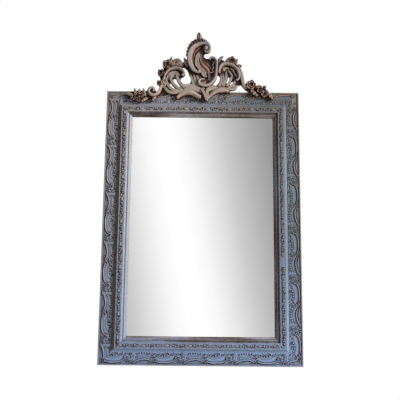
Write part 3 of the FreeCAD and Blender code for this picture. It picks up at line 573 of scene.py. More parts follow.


# Section of a carved band: place across it, height, wax and painted shade, rubbed paint, all as shares. The
# last side is the inner one, and a height of None is the foot, dark with painted shade where the band meets
# the ground.
MAIN_SECTION_SHARES = (
    (-1, None, 1, 0), (-1, 0.34, 0.9, 0.1), (-0.94, 0.62, 0.3, 0.6), (-0.82, 0.86, 0, 0.3),
    (-0.6, 1, 0, 0.1), (-0.38, 0.97, 0, 0), (-0.22, 0.88, 0.1, 0), (-0.12, 0.8, 0.4, 0),
    (-0.02, 0.8, 0.2, 0), (0.14, 0.84, 0, 0.1), (0.3, 0.76, 0, 0.3), (0.44, 0.6, 0.2, 0.5),
    (0.6, 0.4, 0.48, 0.6), (0.78, 0.16, 0.58, 0.6), (0.92, -0.1, 0.8, 0.5), (1, -0.3, 1, 0), (1, None, 1, 0))
ARCH_SECTION_SHARES = (
    (-1, None, 1, 0), (-1, 0.3, 0.9, 0.1), (-0.92, 0.6, 0.4, 0.3), (-0.74, 0.86, 0.1, 0.3),
    (-0.45, 1, 0, 0.1), (-0.1, 1, 0, 0), (0.22, 0.9, 0, 0), (0.46, 0.7, 0.2, 0.2), (0.62, 0.52, 0.6, 0.3),
    (0.76, 0.48, 0.4, 0.5), (0.88, 0.38, 0.5, 0.6), (0.96, 0.2, 0.8, 0.4), (1, 0, 1, 0), (1, None, 1, 0))
FROND_SECTION_SHARES = mirrored((
    (-1, None, 1, 0), (-1, 0.2, 1, 0), (-0.92, 0.52, 0.4, 0.6), (-0.74, 0.8, 0, 0.5), (-0.48, 0.97, 0, 0.1),
    (-0.22, 0.94, 0.1, 0), (-0.08, 0.82, 0.5, 0)))
PLEAT_SECTION_SHARES = mirrored((
    (-1, None, 1, 0), (-1, 0.1, 1, 0), (-0.8, 0.55, 0.4, 0.3), (-0.45, 0.9, 0, 0.6)), ((0, 1, 0, 0.4),))
CELL_SECTION_SHARES = mirrored((
    (-1, None, 1, 0), (-1, 0.3, 0.8, 0), (-0.88, 0.8, 0.2, 0.4), (-0.66, 1, 0, 0.5),
    (-0.42, 0.78, 0.7, 0.2)), ((0, 0.5, 1, 0),))
PLEAT_WIDTH_SHARES = (0.7, 0.9, 1.0, 1.0, 0.9)
FROND_WIDTH_SHARES = (0.85, 1.0, 1.0, 0.9, 0.45)
NO_LIFT = (0.0, 0.0)


def sweep(carving, points, size, section, width_shares, lift=NO_LIFT):
    """Band of the given section along a smooth line; lift raises it off its seat along the way."""
    half_w, rise = size
    count = max(int(run_length(points) / SWEEP_STEP), 10)
    line, across = line_and_across(points, count)
    share = rows_at(width_shares, count)[:, None]
    raised = rows_at(lift, count)[:, None]
    place, height, wax, rub = zip(*section)
    place = np.array(place)[None, :]
    foot = np.array([up is None for up in height])[None, :]
    height = np.array([0.0 if up is None else up for up in height])[None, :]
    x = line[:, :1] + across[:, :1] * place * half_w * share
    z = line[:, 1:] + across[:, 1:] * place * half_w * share
    v = np.where(foot, CARVING_FOOT, CREST_FACE + raised + height * rise * np.sqrt(share))
    carving.grid(x, z, v, np.array(wax)[None, :], np.array(rub)[None, :], ring=True)


def leaf(carving, points, size, lobes, lift=NO_LIFT):
    """Carved leaf along a smooth line: a grooved midrib, side veins and lobed edges."""
    half_w, rise = size
    count = max(int(run_length(points) / LEAF_STEP), 24)
    line, across = line_and_across(points, count)
    along = np.linspace(0, 1, count)[:, None]
    place = np.linspace(-1, 1, LEAF_COLUMNS)[None, :]
    outline = np.sin(math.pi * np.clip(along, 0.04, 0.985) ** 0.75) ** 0.62
    notches = 1 - 0.26 * np.abs(np.cos(math.pi * lobes * along)) ** 4 * (along > 0.5 / max(lobes, 1))
    half = half_w * outline * notches
    veins = np.cos(2 * math.pi * (lobes * along - 0.8 * np.abs(place)))
    midrib = np.exp(-(place / 0.10) ** 2)
    body = 0.40 + 0.60 * np.cos(place * math.pi / 2) ** 0.8
    height = body + 0.13 * veins * (1 - midrib) - 0.30 * midrib
    height = height * np.clip(np.sin(math.pi * np.clip(along, 0.05, 0.97)) ** 0.35, 0.3, 1)
    x = line[:, :1] + across[:, :1] * place * half
    z = line[:, 1:] + across[:, 1:] * place * half
    v = CREST_FACE + rows_at(lift, count)[:, None] + rise * height
    # Wax in the midrib and veins, and painted shade along the edges where the leaf meets the ground.
    wax = np.clip(0.8 * midrib + 0.65 * np.clip(-veins, 0, 1) + 1.2 * (np.abs(place) > 0.97), 0, 1)
    rub = np.clip(0.7 * np.clip(veins, 0, 1) * (np.abs(place) > 0.35) + 0.5 * (np.abs(place) > 0.86), 0, 1)
    wax, rub = np.broadcast_to(wax, v.shape), np.broadcast_to(rub, v.shape)
    add_with_foot(carving, x, z, v, wax, rub, ((0, 0), (1, 1)))


def add_with_foot(carving, x, z, v, wax, rub, edge):
    """Adds a grid whose edges run back into the ground, made fully dark there as painted shade."""
    carving.grid(np.pad(x, edge, mode="edge"), np.pad(z, edge, mode="edge"),
                 np.pad(v, edge, constant_values=CARVING_FOOT), np.pad(wax, edge, constant_values=1.0),
                 np.pad(rub, edge, constant_values=0.0), ring=True)


def sheet(carving, guides):
    """Carved sheet through guide lines, each with its rise along the way, wax and rubbed paint."""
    shares, rises, wax, rub = zip(*guides)
    lines = np.stack([smooth_line(crest_points(row), SHEET_ROWS) for row in shares])
    heights = np.stack([rows_at(row, SHEET_ROWS) for row in rises])
    places = np.linspace(0, len(guides) - 1, SHEET_COLUMNS * (len(guides) - 1) + 1)
    first = np.minimum(places.astype(int), len(guides) - 2)
    part = places - first
    ease = 0.5 - 0.5 * np.cos(math.pi * part)

    def between(rows, share):
        return rows[first].T * (1 - share) + rows[first + 1].T * share

    x = between(lines[:, :, 0], part)
    z = between(lines[:, :, 1], part)
    v = CREST_FACE + between(heights, ease)
    wax, rub = (np.broadcast_to(between(np.array(column, float), ease), x.shape) for column in (wax, rub))
    add_with_foot(carving, x, z, v, wax, rub, ((0, 0), (1, 1)))


# Rings of a rose from its middle: radius, height at the petals' middles and between them, wax and painted
# shade, rubbed paint
ROSE_RING_SHARES = (
    (0.00, 0.20, 0.20, 1.0, 0.0), (0.25, 0.24, 0.22, 1.0, 0.0), (0.35, 0.50, 0.36, 0.7, 0.2),
    (0.43, 0.94, 0.60, 0.1, 0.5), (0.50, 1.00, 0.66, 0.0, 0.5), (0.57, 0.82, 0.52, 0.2, 0.2),
    (0.63, 0.50, 0.36, 0.9, 0.0), (0.70, 0.56, 0.38, 0.5, 0.1), (0.80, 0.80, 0.44, 0.0, 0.2),
    (0.91, 0.86, 0.42, 0.0, 0.6), (0.98, 0.64, 0.26, 0.3, 0.5), (1.00, 0.20, 0.05, 1.0, 0.0))


def rose(carving, spot, radius, rise, petals, turn):
    """Open flower: two rings of cupped petals round a dark hollow."""
    (x0, z0), = crest_points([spot])
    angles = np.linspace(0, 2 * math.pi, ROSE_COLUMNS, endpoint=False)[None, :]
    out, high, low, wax, rub = (np.array(column)[:, None] for column in zip(*ROSE_RING_SHARES))
    inner = out < 0.54
    wave = np.where(inner, np.cos((petals - 2) * angles + turn * 2.3), np.cos(petals * angles + turn))
    petal = (0.5 + 0.5 * wave) ** 0.6
    reach = out * (1 - 0.16 * (1 - petal) * np.clip(out * 1.6 - 0.4, 0, 1))
    height = low + (high - low) * petal
    x = x0 + radius * reach * np.cos(angles)
    z = z0 + radius * reach * np.sin(angles)
    v = CREST_FACE + rise * height
    # Between the petals the flower is darkened with wax and painted shade.
    wax = np.clip(wax + 0.5 * (1 - petal) * (out > 0.3), 0, 1)
    add_with_foot(carving, x, z, v, wax, rub * petal, ((0, 1), (0, 0)))


# Rings of a bead from its middle: radius, wax, rubbed paint
BEAD_RING_SHARES = (
    (0.02, 0, 0.4), (0.35, 0, 0.3), (0.65, 0, 0.2), (0.86, 0.2, 0.1), (0.97, 0.8, 0), (1, 1, 0), (1, 1, 0))


def add_beads(carving, beads):
    """Round bosses with dark edges of wax and painted shade."""
    angles = np.linspace(0, 2 * math.pi, BEAD_COLUMNS, endpoint=False)[None, :]
    out, wax, rub = (np.array(column)[:, None] for column in zip(*BEAD_RING_SHARES))
    for spot, radius, rise in beads:
        (x0, z0), = crest_points([spot])
        x = x0 + radius * out * np.cos(angles)
        z = z0 + radius * out * np.sin(angles)
        v = CREST_FACE + rise * np.sqrt(np.clip(1 - out ** 2, 0, 1)) + 0 * angles
        v[-1] = CARVING_FOOT
        carving.grid(x, z, v, wax, rub, ring=True)


# Pierced ground of the crest

def closed_line(points, step):
    """Evenly spaced points on a smooth closed line through the given ones."""
    wrapped = points[-3:] + points + points[:4]
    line = smooth_line(wrapped, int(run_length(wrapped) / step))
    away = np.linalg.norm(line - np.array(points[0]), axis=1)
    half = len(line) // 2
    return line[np.argmin(away[:half]):half + np.argmin(away[half:])]


def inside_outlines(outlines, xs, zs):
    """For each place of a grid, whether an odd number of closed outlines goes round it."""
    inside = np.zeros((len(xs), len(zs)), bool)
    for outline in outlines:
        after = np.roll(outline, -1, axis=0)
        for column, z in enumerate(zs):
            crossing = (outline[:, 1] <= z) != (after[:, 1] <= z)
            a, b = outline[crossing], after[crossing]
            places = np.sort(a[:, 0] + (z - a[:, 1]) / (b[:, 1] - a[:, 1]) * (b[:, 0] - a[:, 0]))
            inside[:, column] ^= np.searchsorted(places, xs) % 2 == 1
    return inside


def snapped_to(outlines, x, z, places):
    """Moves the given places of a grid to the nearest points of the outlines."""
    points = np.concatenate(outlines)
    tree = KDTree(len(points))
    for number, point in enumerate(points):
        tree.insert((point[0], point[1], 0), number)
    tree.balance()
    for i, j in np.argwhere(places):
        nearest = tree.find((x[i, j], z[i, j], 0))[0]
        x[i, j], z[i, j] = nearest.x, nearest.y


def pierced_board(name, relief, outlines, material, slot, replaced):
    """Board cut to its outlines and openings, with the relief on its front and a flat back."""
    x, z = relief.s.copy(), relief.t.copy()
    inside = inside_outlines(outlines, x[:, 0], z[0])
    grown = np.pad(inside, 1)
    beside = np.zeros_like(inside)
    for i in range(3):
        for j in range(3):
            beside |= grown[i:i + inside.shape[0], j:j + inside.shape[1]]
    snapped_to(outlines, x, z, beside & ~inside)

    def corners(layer):
        return np.stack([layer[:-1, :-1], layer[1:, :-1], layer[1:, 1:], layer[:-1, 1:]], axis=-1)

    cells = corners(beside).all(axis=-1) & corners(inside).any(axis=-1)
    front = np.arange(x.size).reshape(x.shape)
    back = front + x.size
    framed = np.pad(cells, 1)
    along = framed[1:-1, 1:] != framed[1:-1, :-1]
    across = framed[1:, 1:-1] != framed[:-1, 1:-1]
    faces = [corners(front)[cells], corners(back)[cells]]
    for wall, start, end in ((along, np.s_[:-1], np.s_[1:]), (across, np.s_[:, :-1], np.s_[:, 1:])):
        faces.append(np.stack(
            [front[start][wall], front[end][wall], back[end][wall], back[start][wall]], axis=-1))
    used, faces = np.unique(np.concatenate(faces), return_inverse=True)
    carving = Carving()
    v = np.stack([GROUND_V + relief.height, np.full(x.shape, GROUND_BACK)])
    layers = [np.stack([x, x]), np.stack([z, z]), v, np.stack([relief.wax] * 2), np.stack([relief.rub] * 2)]
    carving.grid(*[layer.reshape(-1)[used][None, :] for layer in layers])
    carving.faces = faces.reshape(-1, 4).tolist()
    carving.piece(name, material, slot, replaced)


# Materials

def srgb(red, green, blue):
    """Colour as seen on screen, from 0 to 255, turned into the linear values that shaders take."""
    parts = [part / 255 for part in (red, green, blue)]
    return tuple(p / 12.92 if p <= 0.04045 else ((p + 0.055) / 1.055) ** 2.4 for p in parts) + (1.0,)


# Dark wax and painted shade, the tone between it and the paint, and rubbed paint
FRAME_TONES = (srgb(30, 26, 25), srgb(98, 81, 71), srgb(176, 136, 84))
CREST_TONES = (srgb(34, 22, 18), srgb(128, 74, 40), srgb(160, 124, 96))


class Shader:
    """Short names for the nodes of one material."""

    def __init__(self, name):
        self.material = bpy.data.materials.new(name)
        self.material.use_nodes = True
        self.tree = self.material.node_tree
        self.shader = self.tree.nodes["Principled BSDF"]
        given = self.tree.nodes.new("ShaderNodeTexCoord").outputs
        self.place = given["Object"]
        self.facing = given["Normal"]

    def set(self, socket, value):
        if isinstance(value, bpy.types.NodeSocket):
            self.tree.links.new(value, socket)
        else:
            socket.default_value = value

    def node(self, kind, values=(), **settings):
        made = self.tree.nodes.new(kind)
        for key, value in settings.items():
            setattr(made, key, value)
        for key, value in dict(values).items():
            self.set(made.inputs[key], value)
        return made

    def math(self, operation, a, b=0.0, clamp=False):
        return self.node("ShaderNodeMath", {0: a, 1: b}, operation=operation, use_clamp=clamp).outputs[0]

    def mix(self, share, a, b, blend="MIX"):
        made = self.node("ShaderNodeMix", data_type="RGBA", blend_type=blend)
        self.set(made.inputs[0], share)
        self.set(made.inputs[6], a)
        self.set(made.inputs[7], b)
        return made.outputs[2]

    def scale(self, value, low, high, to_low=0.0, to_high=1.0):
        return self.node("ShaderNodeMapRange", {"Value": value, "From Min": low, "From Max": high,
                                                "To Min": to_low, "To Max": to_high}).outputs[0]

    def ramp(self, value, stops):
        made = self.node("ShaderNodeValToRGB", {"Fac": value})
        elements = made.color_ramp.elements
        while len(elements) < len(stops):
            elements.new(0.5)
        for element, (position, colour) in zip(elements, stops):
            element.position = position
            element.color = colour if isinstance(colour, tuple) else (colour, colour, colour, 1.0)
        return made.outputs[0]

    def noise(self, scale, detail=4.0, roughness=0.6, stretch=None):
        place = self.place
        if stretch:
            place = self.node("ShaderNodeMapping", {"Vector": place, "Scale": stretch}).outputs[0]
        return self.node("ShaderNodeTexNoise", {"Vector": place, "Scale": scale, "Detail": detail,
                                                "Roughness": roughness}).outputs[0]

    def attribute(self, name):
        return self.node("ShaderNodeAttribute", attribute_name=name).outputs["Fac"]

    def axes(self):
        return self.node("ShaderNodeSeparateXYZ", {0: self.place}).outputs

    def bump(self, height, strength, distance):
        made = self.node("ShaderNodeBump", {"Height": height, "Strength": strength, "Distance": distance})
        self.set(self.shader.inputs["Normal"], made.outputs[0])

    def finish(self, colour, roughness, metallic=0.0, specular=0.5):
        self.set(self.shader.inputs["Base Color"], colour)
        self.set(self.shader.inputs["Roughness"], roughness)
        self.shader.inputs["Metallic"].default_value = metallic
        self.shader.inputs["Specular IOR Level"].default_value = specular
        return self.material


# Paint with painted light in its colour, from the bottom rail up to the top of the crest, on the left and on
# the right:
# bluer towards the bottom as if under bluish light, and darker on the right towards the top
LEFT_PAINT_AND_LIGHT_STOPS = (
    (0.00, srgb(131, 155, 190)), (0.06, srgb(129, 150, 182)), (0.30, srgb(138, 150, 168)),
    (0.60, srgb(146, 153, 165)), (0.80, srgb(148, 149, 160)), (0.825, srgb(170, 156, 146)),
    (0.88, srgb(148, 140, 137)), (1.00, srgb(142, 139, 140)))
RIGHT_PAINT_AND_LIGHT_STOPS = (
    (0.00, srgb(126, 152, 190)), (0.06, srgb(120, 143, 175)), (0.30, srgb(100, 120, 140)),
    (0.60, srgb(97, 112, 127)), (0.80, srgb(83, 91, 97)), (0.825, srgb(162, 151, 142)),
    (0.88, srgb(138, 136, 135)), (1.00, srgb(132, 134, 137)))
CREST_PAINT_SHARE = 0.825
# From the left paint to the right one, in x
PAINT_TURN = (-0.25, 0.35)
# How far round a place its hollows are felt, and the depths between which paint gives way to bare wood
FRAME_REACH = 0.012
CARVING_REACH = 0.028
GROUND_REACH = 0.025
FRAME_BARE_Y = (-0.012, -0.009)
FRAME_BARE_STRAY = 0.004
GROUND_BARE_Y = (-(GROUND_BACK + 2) * MM, -(GROUND_BACK + 1) * MM)
PAINT_SPECULAR = 0.22
GLASS_AGED_W = 0.012
# Light and dark of the woods
SUPPORT_WOOD = (srgb(150, 116, 82), srgb(104, 76, 52))
FRAME_WOOD = (srgb(186, 148, 106), srgb(128, 92, 60))
BEECH = (srgb(198, 160, 118), srgb(160, 120, 80))
BOARD = (srgb(136, 102, 70), srgb(104, 76, 50))
# Where wax gathers, painted shade lies and paint is rubbed off across the mouldings: share of the sight
# width, strength
WAX_LINE_SHARES = (
    (0.000, 0.55), (0.016, 0.40), (0.028, 0.0), (0.040, 0.0), (0.055, 0.9), (0.068, 0.1), (0.455, 0.1))
COVE_LINE_SHARES = ((0.468, 1.0), (0.575, 1.0), (0.592, 0.8))
SLIP_WAX_LINE_SHARES = ((0.605, 0.0), (0.625, 0.4), (0.645, 0.1), (0.775, 0.05), (0.790, 0.15), (0.805, 0.0))
SLOPE_LINE_SHARES = (
    (0.800, 0.0), (0.825, 0.7), (0.865, 1.0), (0.890, 0.6), (0.915, 0.7), (0.930, 1.0), (0.960, 0.7),
    (0.990, 1.0))
RUB_LINE_SHARES = (
    (0.000, 1.0), (0.018, 0.4), (0.030, 0.5), (0.045, 0.1), (0.590, 0.1), (0.605, 0.7), (0.620, 0.1),
    (0.790, 0.1), (0.806, 0.5), (0.820, 0.1), (0.880, 0.1), (0.905, 0.4), (0.925, 0.1), (0.960, 0.3),
    (0.985, 0.6), (1.000, 0.5))
# How much of this painted shade the cove holds on each side, and how much wax and painted shade the slope to
# the glass holds
COVE_PAINTED_SHADE_SHARES = {"left_stile": 0.62, "top_rail": 0.12, "right_stile": 0.15, "bottom_rail": 0.02}
SLOPE_WAX_AND_SHADE_SHARES = {"left_stile": 0.05, "top_rail": 1.00, "right_stile": 0.85, "bottom_rail": 0.90}


def paint_coats(shader, wax, rub, tones, reach, hollow_wax_and_shade, mottle=0.14, lowest=0.0):
    """Blue-grey paint with brown and dark wax and painted shade in the hollows, and ochre where it is
    rubbed. Its colour, with painted light in it, changes upwards and from left to right; lowest is the first
    share of the height that is used."""
    dark, middle, worn = tones
    x, _, z = shader.axes()
    up = shader.math("MAXIMUM", shader.scale(z, 0.0, cad_box[1].z), lowest)
    left = shader.ramp(up, LEFT_PAINT_AND_LIGHT_STOPS)
    right = shader.ramp(up, RIGHT_PAINT_AND_LIGHT_STOPS)
    base = shader.mix(shader.scale(x, *PAINT_TURN), left, right)
    cloud = shader.noise(7.0, 6.0, 0.65)
    fine = shader.noise(190.0, 5.0, 0.7)
    grime = shader.noise(55.0, 6.0, 0.7)
    base = shader.mix(1.0, base, shader.ramp(cloud, ((0.25, 0.80), (0.50, 0.96), (0.75, 1.0))), "MULTIPLY")
    base = shader.mix(1.0, base, shader.ramp(fine, ((0.30, 0.84), (0.60, 1.0))), "MULTIPLY")
    # Hollows found by ambient occlusion are darkened: wax and painted shade in recesses and between parts.
    hollow = shader.node("ShaderNodeAmbientOcclusion", {"Distance": reach}, samples=8).outputs["AO"]
    wax = shader.math("ADD", wax, shader.scale(hollow, 0.88, 0.35, 0.0, hollow_wax_and_shade))
    wax = shader.math("ADD", wax, shader.scale(grime, 0.3, 0.7, -mottle, mottle))
    rub = shader.math("MULTIPLY", rub, shader.scale(shader.noise(26.0, 5.0, 0.7), 0.36, 0.58))
    colour = shader.mix(shader.math("MULTIPLY", rub, 0.75, True), base, worn)
    colour = shader.mix(shader.scale(wax, 0.28, 0.65, 0.0, 0.85), colour, middle)
    colour = shader.mix(shader.scale(wax, 0.60, 1.05, 0.0, 0.97), colour, dark)
    rough = shader.scale(fine, 0.3, 0.7, 0.45, 0.65)
    shader.bump(shader.math("ADD", fine, shader.math("MULTIPLY", grime, 0.6)), 0.35, 0.0006)
    return colour, rough


def carved_paint(name, tones, reach, hollow_wax_and_shade, mottle, lowest=0.0, bare_back=False):
    """Paint of the carved pieces, whose meshes say where wax and painted shade lie and paint is rubbed. The
    ground of the crest has bare wood on its back."""
    shader = Shader(name)
    colour, rough = paint_coats(
        shader, shader.attribute("wax"), shader.attribute("rub"), tones, reach, hollow_wax_and_shade, mottle, lowest)
    if bare_back:
        wood, _ = wood_grain(shader, SUPPORT_WOOD, ALONG_X)
        _, y, _ = shader.axes()
        colour = shader.mix(shader.scale(y, *GROUND_BARE_Y), colour, wood)
    return shader.finish(colour, rough, specular=PAINT_SPECULAR)


def wood_grain(shader, tones, stretch):
    """Streaked colour of wood, and the streaks themselves."""
    light, dark = tones
    rings = shader.noise(6.0, 6.0, 0.65, stretch)
    pores = shader.noise(90.0, 3.0, 0.6, stretch)
    colour = shader.ramp(rings, ((0.30, dark), (0.52, light), (0.72, dark)))
    return shader.mix(shader.scale(pores, 0.5, 0.7, 0.0, 0.55), colour, dark), rings


def moulded_paint(side, stretch):
    """Paint of one side's mouldings: wax, painted shade and wear follow the lines of the section; the back
    is bare wood.
    """
    shader = Shader(side + "_paint")
    x, y, z = shader.axes()
    from_side = shader.math("SUBTRACT", FRAME_W / 2 * MM, shader.math("ABSOLUTE", x))
    from_end = shader.math("MINIMUM", z, shader.math("SUBTRACT", FRAME_H * MM, z))
    inwards = shader.scale(shader.math("MINIMUM", from_side, from_end), 0.0, SIGHT_T * MM)
    # The cove's darkening is painted shade; the slope's is wax and painted shade.
    cove = COVE_PAINTED_SHADE_SHARES[side]
    slope = SLOPE_WAX_AND_SHADE_SHARES[side]
    cove_lines = tuple((place, cove * strength) for place, strength in COVE_LINE_SHARES)
    lines = WAX_LINE_SHARES + cove_lines + SLIP_WAX_LINE_SHARES
    streak = shader.noise(6.0, 5.0, 0.6, stretch)
    streaked = shader.scale(streak, 0.38, 0.60, 0.4 * slope, 1.2 * slope)
    wax = shader.math("ADD", shader.ramp(inwards, lines),
                      shader.math("MULTIPLY", shader.ramp(inwards, SLOPE_LINE_SHARES), streaked))
    rub = shader.ramp(inwards, RUB_LINE_SHARES)
    colour, rough = paint_coats(shader, wax, rub, FRAME_TONES, FRAME_REACH, 0.5)
    wood, _ = wood_grain(shader, FRAME_WOOD, stretch)
    stray = shader.scale(shader.noise(40.0), 0.3, 0.7, -FRAME_BARE_STRAY, FRAME_BARE_STRAY)
    edge = shader.math("ADD", y, stray)
    facing = shader.node("ShaderNodeSeparateXYZ", {0: shader.facing}).outputs[1]
    bare = shader.math("MAXIMUM", shader.scale(edge, *FRAME_BARE_Y), shader.scale(facing, 0.5, 0.7))
    colour = shader.mix(bare, colour, wood)
    return shader.finish(colour, rough, specular=PAINT_SPECULAR)


def bare_wood(name, tones, stretch):
    shader = Shader(name)
    colour, rings = wood_grain(shader, tones, stretch)
    shader.bump(rings, 0.25, 0.0008)
    return shader.finish(colour, shader.scale(rings, 0.3, 0.7, 0.55, 0.75), specular=0.25)


def silvered_glass():
    """Mirror with a trace of age towards its edges."""
    shader = Shader("silvered_glass")
    x, _, z = shader.axes()
    from_side = shader.math("SUBTRACT", (FRAME_W / 2 - SIGHT_T) * MM, shader.math("ABSOLUTE", x))
    from_bottom = shader.math("SUBTRACT", z, SIGHT_T * MM)
    from_top = shader.math("SUBTRACT", (FRAME_H - SIGHT_T) * MM, z)
    edge = shader.math("MINIMUM", from_side, shader.math("MINIMUM", from_bottom, from_top))
    near = shader.scale(edge, GLASS_AGED_W, 0.0)
    spots = shader.scale(shader.noise(60.0, 6.0, 0.7), 0.56, 0.70)
    added_darkening = shader.math("MULTIPLY", near, spots, True)
    colour = shader.mix(shader.math("MULTIPLY", added_darkening, 0.35), srgb(252, 252, 252), srgb(176, 168, 156))
    rough = shader.scale(added_darkening, 0.0, 1.0, 0.012, 0.12)
    return shader.finish(colour, rough, metallic=1.0)


def metal(name, light, dark, rough_low, rough_high):
    shader = Shader(name)
    cloud = shader.noise(60.0, 6.0, 0.7)
    scratches = shader.noise(260.0, 3.0, 0.6, (1.0, 1.0, 0.15))
    colour = shader.mix(shader.scale(cloud, 0.40, 0.68), light, dark)
    shader.bump(scratches, 0.15, 0.0003)
    return shader.finish(colour, shader.scale(scratches, 0.3, 0.7, rough_low, rough_high), metallic=1.0)


def rubber():
    shader = Shader("rubber")
    grain = shader.noise(420.0, 4.0, 0.6)
    colour = shader.ramp(grain, ((0.3, srgb(34, 33, 32)), (0.7, srgb(58, 56, 54))))
    shader.bump(grain, 0.3, 0.0004)
    return shader.finish(colour, shader.scale(grain, 0.3, 0.7, 0.6, 0.8), specular=0.3)


ALONG_Z = (6.0, 6.0, 0.5)
ALONG_X = (0.5, 6.0, 6.0)
materials = {
    "ornament": carved_paint("ornament_paint", FRAME_TONES, FRAME_REACH, hollow_wax_and_shade=0.55, mottle=0.18),
    "carving": carved_paint("carving_paint", CREST_TONES, CARVING_REACH, 0.90, 0.30, CREST_PAINT_SHARE),
    "ground": carved_paint("ground_paint", CREST_TONES, GROUND_REACH, 0.50, 0.26, CREST_PAINT_SHARE, True),
    **{side: moulded_paint(side, ALONG_Z if side.endswith("stile") else ALONG_X) for side in SIDES},
    "support": bare_wood("support_wood", SUPPORT_WOOD, ALONG_X),
    "beech": bare_wood("beech", BEECH, ALONG_X),
    "board": bare_wood("backing_board", BOARD, ALONG_Z),
    "glass": silvered_glass(),
    "steel": metal("zinc_steel", srgb(176, 178, 180), srgb(122, 120, 118), 0.28, 0.48),
    "brass": metal("dull_brass", srgb(196, 158, 88), srgb(132, 98, 52), 0.26, 0.46),
    "rubber": rubber()}


def dress(material, *names):
    """Gives CAD nodes their finish."""
    for name in names:
        mesh = nodes[name].data
        mesh.materials.clear()
        mesh.materials.append(materials[material])


for side in SIDES:
    dress(side, side, side + "_sight_slip")
dress("glass", "mirror_glass")
dress("board", "back_panel")
dress("beech", "glass_setting_blocks", "mitre_keys", "crest_dowels")
dress("support", "crest_supports")
dress("steel", "corner_plates", "corner_plate_screws", "left_hanger_strap", "right_hanger_strap",
      "left_hanger_ring", "right_hanger_ring", "hanger_screws", "crest_screws")
dress("brass", "button_screws", *[name for name in nodes if "_button_" in name])
dress("rubber", "wall_bumpers")


# Relief strips on the four sides

SCROLLS = band_relief()
LEAVES = leaf_relief()
# Stretches of the right side where the ornament has come off: from, to, how far across, bareness
BAND_LOSSES = {"right_stile": ((12.0, 56.0, 34.0, 0.30), (60.0, 78.0, 23.0, 0.35))}
LEAF_LOSSES = {"right_stile": ((853.0, 901.0, FRAME_W, 0.1),)}
for side in SIDES:
    relief_strip(side + "_scroll_relief", side, SCROLLS, (RIM_W, BAND_END), BAND_V,
                 SCROLL_PITCH * (SCROLL_PHASE_SHARES[side] - 1), side + "_scrolls", BAND_FINISH_SHARES[side],
                 losses=BAND_LOSSES.get(side, ()))
    relief_strip(side + "_leaf_relief", side, LEAVES, (LEAF_START, LEAF_END), LEAF_SEAT,
                 LEAF_PITCH * LEAF_PHASE_SHARES[side], side + "_leaf_run", LEAF_FINISH_SHARES[side],
                 LEAF_CROWN, LEAF_LOSSES.get(side, ()))


# Lines of the carving: thousandths of the crest's span from the middle and of its rise above the frame.
# A size is a half width and a rise, a lift raises a band along its way, a bead has a place, radius and rise.

MAIN_SCROLL_SHARES = (
    (-30, 312), (-48, 326), (-64, 352), (-80, 408), (-91, 480), (-94, 560), (-88, 645), (-73, 715),
    (-51, 765), (-26, 793), (0, 800), (24, 790), (40, 750), (40, 695), (24, 662), (12, 680))
MAIN_SCROLL_WIDTH_SHARES = (0.6, 0.85, 1, 1, 0.9, 0.62, 0.56, 0.56, 0.4)
MAIN_SCROLL_LIFT = (2, 3, 4, 4, 4, 3, 3, 3, 3)
MAIN_SCROLL_SIZE = (16.0, 16.0)
MAIN_SCROLL_BEADS = (((19, 727), 14.5, 18.0), ((-30, 322), 10.5, 16.0))
RIGHT_SCROLL_SHARES = (
    (46, 548), (60, 562), (76, 554), (89, 518), (95, 441), (91, 353), (85, 227), (71, 164), (51, 115),
    (25, 86), (-6, 90), (-26, 123), (-26, 165), (-11, 187), (12, 184))
RIGHT_SCROLL_WIDTH_SHARES = (0.6, 0.8, 0.8, 0.9, 1, 1, 1, 0.8, 0.5)
RIGHT_SCROLL_LIFT = (3, 3, 3, 4, 3, 2)
RIGHT_SCROLL_SIZE = (9.5, 12.0)
RIGHT_SCROLL_BEADS = (((48, 538), 6.0, 12.0),)
LEFT_CURL_SHARES = (
    (-345, -24), (-342, 15), (-354, 44), (-370, 29), (-380, -15), (-373, -58), (-353, -87), (-333, -82),
    (-316, -57), (-303, -5), (-292, 61), (-286, 105))
LEFT_CURL_WIDTH_SHARES = (0.6, 0.8, 0.9, 0.9, 0.95, 0.9, 0.45)
LEFT_CURL_LIFT = (0, 3, 2, 0)
LEFT_CURL_SIZE = (9.5, 11.0)
LEFT_ARCH_SHARES = (
    (-277, 165), (-270, 230), (-258, 290), (-242, 336), (-220, 366), (-196, 377), (-168, 367), (-143, 327),
    (-137, 273), (-146, 248))
LEFT_ARCH_WIDTH_SHARES = (0.4, 0.7, 0.9, 1, 1, 1, 0.7)
LEFT_ARCH_LIFT = (0, 2, 3, 3)
LEFT_ARCH_SIZE = (8.6, 11.0)
LEFT_ARCH_BEADS = (((-146, 262), 6.5, 13.0), ((-347, -14), 6.0, 12.0))
LEFT_ARCH_LEAF_SHARES = (
    ((-298, 20), (-290, 90), (-281, 165), (-268, 245)),
    ((-275, 50), (-266, 120), (-254, 195)))
LEFT_ARCH_LEAF_SIZE = (10.5, 9.0)
LEFT_RING_SHARES = ((-258, 190), (-253, 227), (-243, 276), (-223, 313), (-201, 326), (-178, 312))
RIGHT_ARCH_SHARES = (
    (114, 298), (116, 361), (125, 417), (142, 453), (168, 460), (197, 444), (223, 405), (243, 343),
    (252, 273), (249, 210), (234, 175))
RIGHT_ARCH_WIDTH_SHARES = (0.6, 0.9, 1, 1, 0.95, 0.9, 0.8, 0.6)
RIGHT_ARCH_LIFT = (1, 2, 2, 1)
RIGHT_ARCH_SIZE = (9.5, 11.0)
RIGHT_ARCH_BEADS = (((236, 188), 6.0, 11.0),)
LEFT_LOBE_SHARES = ((-248, 215), (-226, 262), (-198, 285), (-176, 272))
LEFT_LOBE_SIZE = (15.0, 6.0)
HANGING_LEAF_SHARES = (
    ((140, 372), (158, 394), (180, 384)), ((196, 388), (212, 352), (222, 312)),
    ((222, 300), (233, 268), (238, 232)), ((176, 345), (190, 310), (200, 262)))
HANGING_LEAF_SIZE = (5.5, 9.0)
